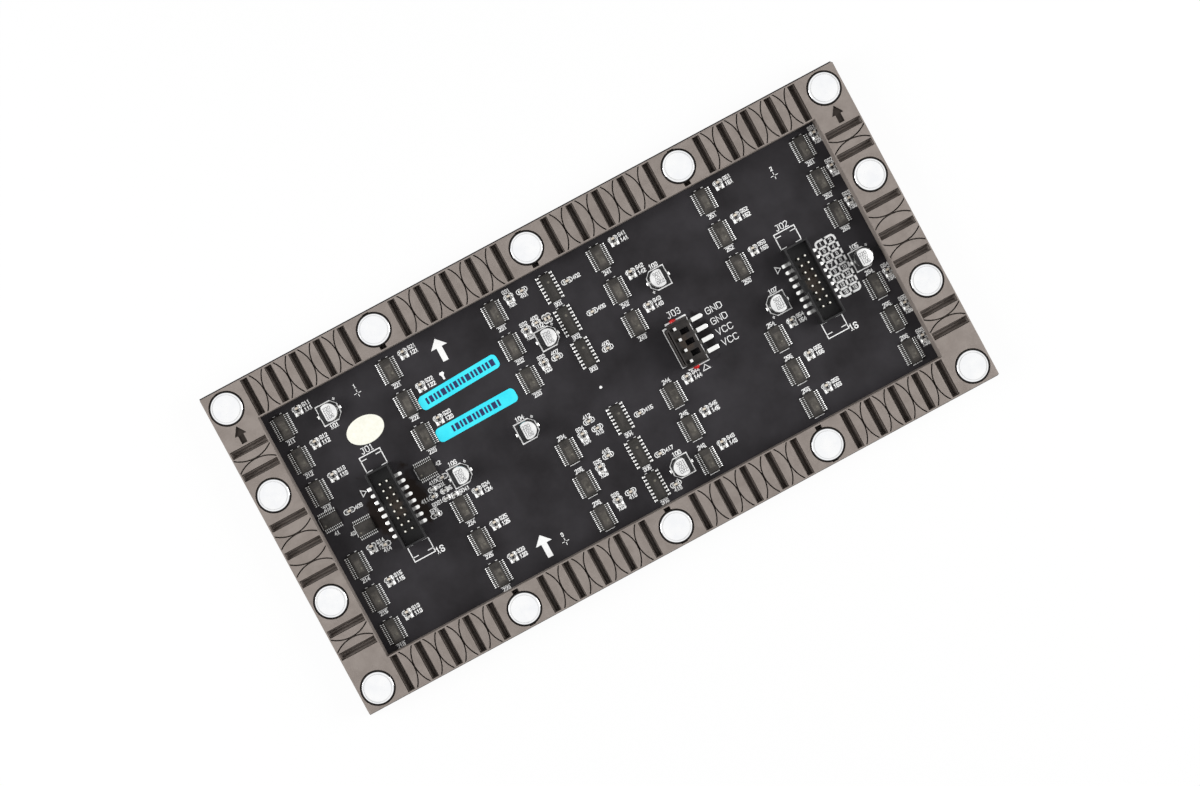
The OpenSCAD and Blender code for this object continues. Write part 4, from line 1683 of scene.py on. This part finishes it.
@dataclass
class CapacitorCans:
    """Aluminium cans on their bases.

    Attributes:
        sides: Facets round a can.
        chord: Where the black mark starts, as a share of the can's radius.
        waist: Depth of the crimp near the foot.
        rows: The lines of a can's print, with their places across the lines.
        letter_h: Height of the letters.
        ink_t: Thickness of the ink.
    """

    sides: int = 64
    chord: float = 0.5
    waist: float = 0.15
    rows: tuple[tuple[str, float], ...] = (("220", 1.35), ("10V", -0.1), ("105", -1.55))
    letter_h: float = 1.05
    ink_t: float = 0.01

    def can(self, box: Box, plus: int) -> Shape:
        """Makes a can, crimped near its foot, with the black mark on its minus side.

        Args:
            box: Box of the can.
            plus: 1 where the plus side lies along +x, and otherwise -1.

        Returns:
            The shape about the can's axis.
        """
        d, low, high = box.size[0], box.low[2], box.high[2]
        waist_d, shoulder = d - 2 * self.waist, 7
        profile = [
            (d - 0.3, low), (d, low + 0.15), (d, low + 0.5), (waist_d, low + 0.75),
            (waist_d, low + 0.95), (d, low + 1.2), (d, high - 0.42), (d - 0.1, high - 0.22),
            (d - 0.35, high - 0.06), (d - 0.8, high),
        ]
        shape = turned_body(profile, self.sides)
        across = plus * shape.points[:, 0] + self.chord * d / 2
        shape.skins = [
            int(max(face) >= shoulder * self.sides and across[list(face)].mean() < 0)
            for face in shape.faces
        ]
        # The top splits along the mark's straight border
        rim = list(range(len(shape.points) - self.sides, len(shape.points)))
        first = next(k for k in range(self.sides) if across[rim[k]] < 0 <= across[rim[k - 1]])
        rim = rim[first:] + rim[:first]
        mark = [k for k in rim if across[k] < 0]
        rest = rim[len(mark) :]
        shape.faces[-1:] = [(mark[-1], *rest, mark[0]), tuple(mark)]
        shape.skins[-1:] = [0, 1]
        return shape

    def build_tabs(self) -> None:
        """Builds the tabs and their solder."""
        metal = Piece("capacitor_tab_ends", [TIN], "tin")
        solder = Piece("capacitor_solder", [SOLDER], "tin")
        beyond, solder_h = (0.9, 0.5), 0.14
        for tab in solids_of("capacitor_tabs"):
            size, low, place = tab.size[:2], tab.low[2], tab.mid[:2]
            metal.add(slab(size, low, tab.high[2], 0.05, 0.08), *place)
            solder.add(slab(size + beyond, low, low + solder_h, 0.08, 0.25, 0.1), *place)
        metal.build("capacitor_tabs")
        solder.build()

    def build(self) -> None:
        """Builds the cans with their print, and the tabs, and dresses the bases."""
        dress("capacitor_bases", BLACK_PLASTIC, 0.1)
        bases = solids_of("capacitor_bases")
        nodes = numbered("capacitor_can", 8)
        top = solids_of(nodes[0])[0].high[2]
        ink = Print(Piece("capacitor_print", [GREY_PRINT]), top, self.ink_t)
        for node in nodes:
            box = solids_of(node)[0]
            (x, y), plus = box.mid[:2], nearest(bases, box.mid[:2]).plus
            piece = Piece(f"{node}_shell", [ALUMINIUM, BLACK_PRINT], "can_aluminium")
            piece.add(self.can(box, plus), x, y)
            piece.build(node)
            turn = 0 if plus > 0 else 180
            for text, row in self.rows:
                ink.word(text, x, y + plus * row, self.letter_h, stretch=1.0, turn=turn)
        ink.piece.build()
        self.build_tabs()


# Headers


@dataclass
class Header:
    """A header with bent pins that are soldered to pads.

    Attributes:
        housing: CAD node of the housing.
        pins: CAD node of the pins.
        plastic: Finish of the housing.
        metal: Finish of the pins.
        slot: Material slot of the pins.
        pin_w: Side of a square pin.
        foot_t: Thickness of a pin's foot.
        pad: Length and width of a pad.
        pad_out: How far a pad reaches past its foot.
        square_pad: Number of the pin with a square pad, from the upper left.
        lean: How far the solder rises towards the housing, as a share of its height.
        edge: Rounding of the housing's edges.
    """

    housing: str
    pins: str
    plastic: Finish
    metal: Finish
    slot: str
    pin_w: float
    foot_t: float
    pad: Spot
    pad_out: float
    square_pad: int
    lean: float = 0.27
    edge: float = 0.12

    def pin(self, box: Box) -> Shape:
        """Makes a pin: a pointed post that bends into a foot.

        Args:
            box: Box of the pin in the frame.

        Returns:
            The shape, with the foot's tip at the origin and the post along -x.
        """
        w, foot, low, high, narrow = self.pin_w, self.foot_t, box.low[2], box.high[2], 0.85
        post, ground, point = -(box.size[0] - w / 2), low + foot / 2, 0.8 * w
        steps = [
            (post, high, narrow * w), (post, high - 0.45 * point, w), (post, high - point, w),
            (post, low + 2.2 * foot, w), (post + 0.1 * w, low + 1.2 * foot, 0.8 * w),
            (post + 0.6 * w, ground, foot), (post + 1.2 * w, ground, foot),
            (-0.1 * w, ground, foot), (0.0, ground, 0.75 * foot),
        ]
        bar = bent_bar([(x, z) for x, z, _ in steps], w, [t for _, _, t in steps])
        bar.points[:BAR_SIDES, 1] *= narrow
        # The bend and the foot take the dark leg finish, as painted shade
        bar.paint(1, 4 * BAR_SIDES, 8 * BAR_SIDES)
        bar.skins[-1] = 1
        return bar

    def solder(self, square: bool) -> Shape:
        """Makes the solder on a pad.

        Args:
            square: Whether the pad has square ends, and not round ones.

        Returns:
            The shape, with the foot's tip at the origin and the pad along -x.
        """
        over_foot, square_radius, round_share = 0.06, 0.15, 0.48
        (length, width), top = self.pad, self.foot_t + over_foot
        rings = []
        for share, inset in ((0.0, 0.0), (0.7, 0.02), (0.93, 0.08), (1.0, 0.18)):
            radius = square_radius if square else round_share * width - inset
            ring = tongue_ring(length - 2 * inset, width - 2 * inset, 0.0, radius)
            ring[:, 2] = BOARD_TOP + share * top * (1 + self.lean * (0.5 - ring[:, 0] / length))
            rings.append(ring)
        return loft(rings).moved(self.pad_out - length / 2, 0)

    def build(self) -> None:
        """Dresses the housing with dust on its floor, and builds the pins and their solder."""
        dust_share, dust_size = 0.3, 3.0
        housing = solids_of(self.housing)[0]
        (x, y), (half_x, half_y) = housing.mid[:2], dust_share * housing.size[:2]
        inputs = (("X", x), ("Y", y), ("ReachX", half_x), ("ReachY", half_y), ("Size", dust_size))
        dust = Mark(Effect.STAIN, BROWN_DUST, inputs)
        finish = replace(self.plastic, name=f"{self.housing}_plastic", marks=(dust,))
        dress(self.housing, finish, self.edge)
        metal = Piece(f"{self.pins}_bent", [self.metal, LEAD_FLANK_SHADE], self.slot)
        drop = Piece(f"{self.pins}_solder", [SOLDER], "tin")
        for k, box in enumerate(solids_of(self.pins)):
            turn, tip = (0, box.high[0]) if box.mid[0] > x else (180, box.low[0])
            metal.add(self.pin(box).turned(turn), tip, box.mid[1])
            drop.add(self.solder(k == self.square_pad).turned(turn), tip, box.mid[1])
        metal.build(self.pins)
        drop.build()


@dataclass
class GlueDabs:
    """Two dabs of fixing glue at the ends of the power header.

    Attributes:
        size: Length and width of a dab.
        height: Its height over the board.
        from_wall: Distance from the header's wall side.
        profile: Shares of the size and of the height, from the foot up.
        wobble: How far the outline strays, as a share of the size.
        slump: How far the top leans to the header.
        out: Distance from the header's end to the middle of a dab.
        sides: Facets round a dab.
        sharp: Angle from which an edge stays sharp, in degrees.
    """

    size: Spot = (2.2, 1.8)
    height: float = 1.1
    from_wall: float = 4.3
    profile: tuple[Spot, ...] = (
        (1.0, 0.0), (1.04, 0.15), (0.94, 0.5), (0.72, 0.8), (0.4, 0.96), (0.15, 1.0)
    )
    wobble: float = 0.07
    slump: float = 0.25
    out: float = 0.3
    sides: int = 24
    sharp: float = 60.0

    def build(self) -> None:
        """Builds the dabs against the header's ends."""
        housing = solids_of("power_header")[0]
        piece = Piece("glue_dabs", [RED_GLUE])
        for y, way in ((housing.high[1], 1), (housing.low[1], -1)):
            rings = []
            for share, z in self.profile:
                ring = circle_ring(1.0, BOARD_TOP + z * self.height, self.sides)
                angle = np.arctan2(ring[:, 1], ring[:, 0])
                stray = share * (1 + self.wobble * np.sin(3 * angle + way))
                ring[:, :2] *= np.outer(stray, self.size)
                ring[:, 1] -= way * self.slump * z
                rings.append(ring)
            piece.add(loft(rings), housing.low[0] + self.from_wall, y + way * self.out)
        piece.build(sharp=self.sharp)


# Chip capacitors and resistors


@dataclass
class ChipParts:
    """Small two-ended parts, soldered at both ends.

    Attributes:
        node: CAD node of the parts.
        finishes: Finishes of the body and of its top.
        slot: Material slot of the bodies.
        cap: Length of a metal end.
        cap_edge: Chamfer and corners of a metal end.
        core_edge: Chamfer of the body, and how far it lies inside its ends.
        core_corner: Radius of the body's corners.
        pad_out: How far the solder reaches past an end.
        pad_over: How much wider than the part it is.
    """

    node: str
    finishes: tuple[Finish, Finish]
    slot: str
    cap: float = 0.32
    cap_edge: float = 0.06
    core_edge: float = 0.03
    core_corner: float = 0.05
    pad_out: float = 0.42
    pad_over: float = 0.18

    def build(self) -> None:
        """Builds the bodies with their metal ends, and the solder at the ends."""
        bodies = Piece(f"{self.node}_bodies", [*self.finishes, LEAD_TIN], self.slot)
        solder = Piece(f"{self.node}_solder", [LEAD_TIN], "tin")
        edge = self.core_edge
        for box in solids_of(self.node):
            length, width = max(box.size[:2]), min(box.size[:2])
            low, high, half, place = box.low[2], box.high[2], length / 2, box.mid[:2]
            turn = 90 if box.size[1] > box.size[0] else 0
            core_size = (length - 2 * self.core_corner, width - 2 * edge)
            core = slab(core_size, low + edge, high - edge, edge, self.core_corner, top=1)
            bodies.add(core.turned(turn), *place)
            end = slab((self.cap, width), low, high, self.cap_edge, self.cap_edge, skin=2)
            path = [
                (half - self.cap * 0.6, 0.05), (half - 0.02, 0.1),
                (half + 0.03, 0.6 * (high - low)), (half + 0.4 * self.pad_out, 0.18),
                (half + self.pad_out, 0.05),
            ]
            fillet = bank(path, width + self.pad_over, low)
            for side, back in ((-1, 180), (1, 0)):
                bodies.add(end.moved(side * (length - self.cap) / 2, 0).turned(turn), *place)
                solder.add(fillet.turned(turn + back), *place)
        bodies.build(self.node)
        solder.build()


# Stickers


@dataclass
class Stickers:
    """Two strip stickers with a row of plain bars, and a bare oval one.

    Attributes:
        strips: CAD node of each strip, its turn in degrees and the share of it that bars take.
        bar_h: Height of a printed bar.
        bar_rhythm: Widths of the bars, which repeat.
        bar_gap: Gap between bars.
        ink_t: Thickness of the ink.
    """

    strips: tuple[tuple[str, float, float], ...] = (
        ("upper_strip_sticker", 2.5, 0.84), ("lower_strip_sticker", 1.0, 0.62)
    )
    bar_h: float = 2.3
    bar_rhythm: tuple[float, ...] = (0.8, 1.3, 0.7, 0.9, 1.6, 0.8)
    bar_gap: float = 0.55
    ink_t: float = 0.012

    def build(self) -> None:
        """Dresses the stickers and prints the bars."""
        dress("oval_sticker", CREAM_LABEL)
        piece = Piece("sticker_print", [NAVY_PRINT])
        for node, turn, share in self.strips:
            dress(node, CYAN_LABEL)
            box = solids_of(node)[0]
            top, end = box.high[2], share * box.size[0] / 2
            x, widths = -end, cycle(self.bar_rhythm)
            while x < end:
                width = next(widths)
                bar = slab((width, self.bar_h), top, top + self.ink_t)
                piece.add(bar.moved(x + width / 2, 0).turned(turn), *box.mid[:2])
                x += width + self.bar_gap
        piece.build()


# Studio


@dataclass
class Softbox:
    """A flat lamp that shines at the module.

    Attributes:
        name: Name of the lamp.
        place: Where it hangs, in metres.
        size: Width and height of its face, in metres.
        level: Brightness of its face, where 1 is white.
    """

    name: str
    place: tuple[float, float, float]
    size: Spot
    level: float

    def build(self) -> None:
        """Hangs the lamp, facing the origin."""
        lamp = bpy.data.lights.new(self.name, "AREA")
        lamp.shape = "RECTANGLE"
        lamp.size, lamp.size_y = self.size
        lamp.energy = self.level * math.pi * self.size[0] * self.size[1]
        piece = bpy.data.objects.new(self.name, lamp)
        piece.location = self.place
        piece.rotation_euler = Vector(self.place).to_track_quat("Z", "Y").to_euler()
        bpy.context.scene.collection.objects.link(piece)


@dataclass
class Studio:
    """The floor, the light and the camera.

    Attributes:
        turn: Turns of the module about x, y and z before the camera, in degrees.
        shift: Shift of the module across the picture.
        distance: Distance from the camera to the board's back.
        focal: Focal length in pixels of the picture.
        picture_w: Width of the picture in pixels.
        sensor: Width of the camera's sensor.
        sky: Brightness of the surroundings as they light the module.
        horizon: Brightness near the horizon as metal reflects it, where overhead is white.
        fade: Heights of a direction between which the horizon fades to white.
        floor_side: Side of the floor, in metres.
        floor_z: Height of the floor, just under the LED face.
        floor_white: How much of the light the floor gives back.
        floor_glow: Share of the floor's white that is not touched by shadow.
        lamps: The lamps.
    """

    turn: tuple[float, float, float] = (1.08672, 1.37437, 28.3238)
    shift: Spot = (0.27386, 1.92102)
    distance: float = 750.0
    focal: float = 2235.1
    picture_w: float = 1200.0
    sensor: float = 36.0
    sky: float = 0.35
    horizon: float = 0.15
    fade: Spot = (0.1, 0.8)
    floor_side: float = 6.0
    floor_z: float = -0.03
    floor_white: float = 0.94
    floor_glow: float = 0.93
    lamps: tuple[Softbox, ...] = (
        Softbox("left_softbox", (-0.6, 0.14, 0.41), (0.49, 0.49), 5.2),
        Softbox("right_softbox", (0.6, -0.14, 0.41), (0.49, 0.49), 5.2),
    )

    def camera(self) -> None:
        """Sets the camera where the photograph was taken from."""
        turns = [Matrix.Rotation(math.radians(a), 3, axis) for a, axis in zip(self.turn, "XYZ")]
        turn = (turns[2] @ turns[1] @ turns[0]).transposed()
        data = bpy.data.cameras.new("camera")
        data.sensor_width = self.sensor
        data.sensor_fit = "HORIZONTAL"
        data.lens = self.focal / self.picture_w * self.sensor
        piece = bpy.data.objects.new("camera", data)
        away = Vector((-self.shift[0], -self.shift[1], self.distance))
        place = turn @ away + Vector((0, 0, BOARD_TOP))
        piece.matrix_world = Matrix.Translation(place * MM) @ turn.to_4x4()
        bpy.context.scene.collection.objects.link(piece)
        bpy.context.scene.camera = piece

    @staticmethod
    def any_ray(tree: Tree, *names: str) -> Socket:
        """Adds a mask of some kinds of rays.

        Args:
            tree: A shader tree.
            names: The kinds, as the light path names them.

        Returns:
            Socket that is 1 for those rays.
        """
        rays = add_node(tree, "LightPath").outputs
        result = rays[f"Is {names[0]} Ray"]
        for name in names[1:]:
            both = {0: result, 1: rays[f"Is {name} Ray"]}
            result = add_node(tree, "Math", both, operation="MAXIMUM").outputs[0]
        return result

    def surroundings(self) -> None:
        """Makes the surroundings: a white backdrop, which metal sees greyer near the horizon."""
        world = bpy.data.worlds.new("studio")
        bpy.context.scene.world = world
        world.use_nodes = True
        tree = world.node_tree
        tree.nodes.clear()
        direction = add_node(tree, "TexCoord").outputs["Generated"]
        level = {
            "Value": add_node(tree, "SeparateXYZ", {0: direction}).outputs["Z"],
            "From Min": self.fade[0], "From Max": self.fade[1],
            "To Min": self.horizon, "To Max": 1.0,
        }
        overhead = add_node(tree, "MapRange", level, interpolation_type="SMOOTHSTEP").outputs[0]
        seen = {
            "Value": self.any_ray(tree, "Glossy"), "To Min": self.sky, "To Max": overhead
        }
        mirrored = add_node(tree, "MapRange", seen).outputs[0]
        seen = {"Value": self.any_ray(tree, "Camera", "Transmission"), "To Min": mirrored}
        strength = add_node(tree, "MapRange", seen).outputs[0]
        white = {"Color": (1, 1, 1, 1), "Strength": strength}
        background = add_node(tree, "Background", white).outputs[0]
        add_node(tree, "OutputWorld", {"Surface": background})

    def floor_material(self) -> bpy.types.Material:
        """Makes the floor's material.

        Returns:
            A matt white that glows for the rays that show it.
        """
        material = bpy.data.materials.new("floor")
        material.use_nodes = True
        tree = material.node_tree
        tree.nodes.clear()
        white = (self.floor_white, self.floor_white, self.floor_white, 1)
        matt = add_node(tree, "BsdfDiffuse", {"Color": white}).outputs[0]
        glow = add_node(tree, "Emission").outputs[0]
        shown = {0: self.any_ray(tree, "Camera", "Glossy", "Transmission"), 1: self.floor_glow}
        share = add_node(tree, "Math", shown, operation="MULTIPLY").outputs[0]
        mix = add_node(tree, "MixShader", {0: share, 1: matt, 2: glow}).outputs[0]
        add_node(tree, "OutputMaterial", {"Surface": mix})
        return material

    def floor(self) -> None:
        """Lays a white floor that keeps a faint shadow of the module."""
        mesh = bpy.data.meshes.new("floor")
        half, low = self.floor_side / 2, self.floor_z * MM
        corners = [(x * half, y * half, low) for x, y in ((-1, -1), (1, -1), (1, 1), (-1, 1))]
        mesh.from_pydata(corners, [], [(0, 1, 2, 3)])
        mesh.materials.append(self.floor_material())
        piece = bpy.data.objects.new("floor", mesh)
        bpy.context.scene.collection.objects.link(piece)
        piece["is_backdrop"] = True

    def build(self) -> None:
        """Sets up the camera, the light and the floor."""
        bpy.context.scene.view_settings.view_transform = "Standard"
        self.camera()
        self.surroundings()
        for lamp in self.lamps:
            lamp.build()
        self.floor()
        LOG.info("studio: camera, %d lamps, floor", len(self.lamps))


def write_sizes() -> None:
    """Works out the boxes of the CAD model and of the visual model, but keeps them nowhere."""
    boxes = {"cad": CAD_BOUNDS, "visual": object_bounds()}
    {name: [list(corner) for corner in box] for name, box in boxes.items()}


def main() -> None:
    """Builds the module's looks and the studio, piece by piece."""
    logging.basicConfig(level=logging.INFO, format="%(name)s: %(message)s")
    Studio().build()
    BoardBack().build()
    SiliconeFrame().build()
    Magnets().build()
    ScreenPrint().build()
    LedFace().build()
    ChipFamily(
        "led_driver", numbered("led_driver_column", 6), "led_driver_leads", pad_out=0.32,
        spot=(0.38, -0.32), spot_d=0.9, marked=(0.15, -0.4, 1.3, 2.6),
    ).build()
    # The row drivers' lead legs take painted light
    ChipFamily(
        "row_driver", numbered("row_driver", 6), "row_driver_leads", pad_out=0.1,
        spot=(0.18, 0.38), spot_d=1.0, plastic=(ROW_PLASTIC, ROW_FADE, ROW_MARKED),
        marked=(0.25, -0.6, 1.0, 3.6), metals=(SOLDER, ROW_FLANK_LIT, SOLDER), pad_w=1.5,
    ).build()
    ChipFamily(
        "buffer", numbered("buffer_chip", 3), "buffer_leads", pad_out=0.3,
        spot=(-0.7, -0.55), spot_d=0.8,
    ).build()
    CapacitorCans().build()
    for side in ("left", "right"):
        Header(
            f"data_header_{side}", f"data_pins_{side}", BLACK_PLASTIC, GOLD, "gold",
            pin_w=0.64, foot_t=0.4, pad=(2.4, 1.35), pad_out=0.25, square_pad=0,
        ).build()
    Header(
        "power_header", "power_pins", POWER_PLASTIC, TIN, "tin",
        pin_w=1.14, foot_t=0.5, pad=(4.3, 1.65), pad_out=0.8, square_pad=3,
    ).build()
    GlueDabs().build()
    ChipParts("chip_capacitors", (CERAMIC, CERAMIC), "capacitor_ceramic").build()
    ChipParts("chip_resistors", (ALUMINA, GLAZE), "resistor_glaze").build()
    Stickers().build()
    write_sizes()


if __name__ == "__main__":
    main()
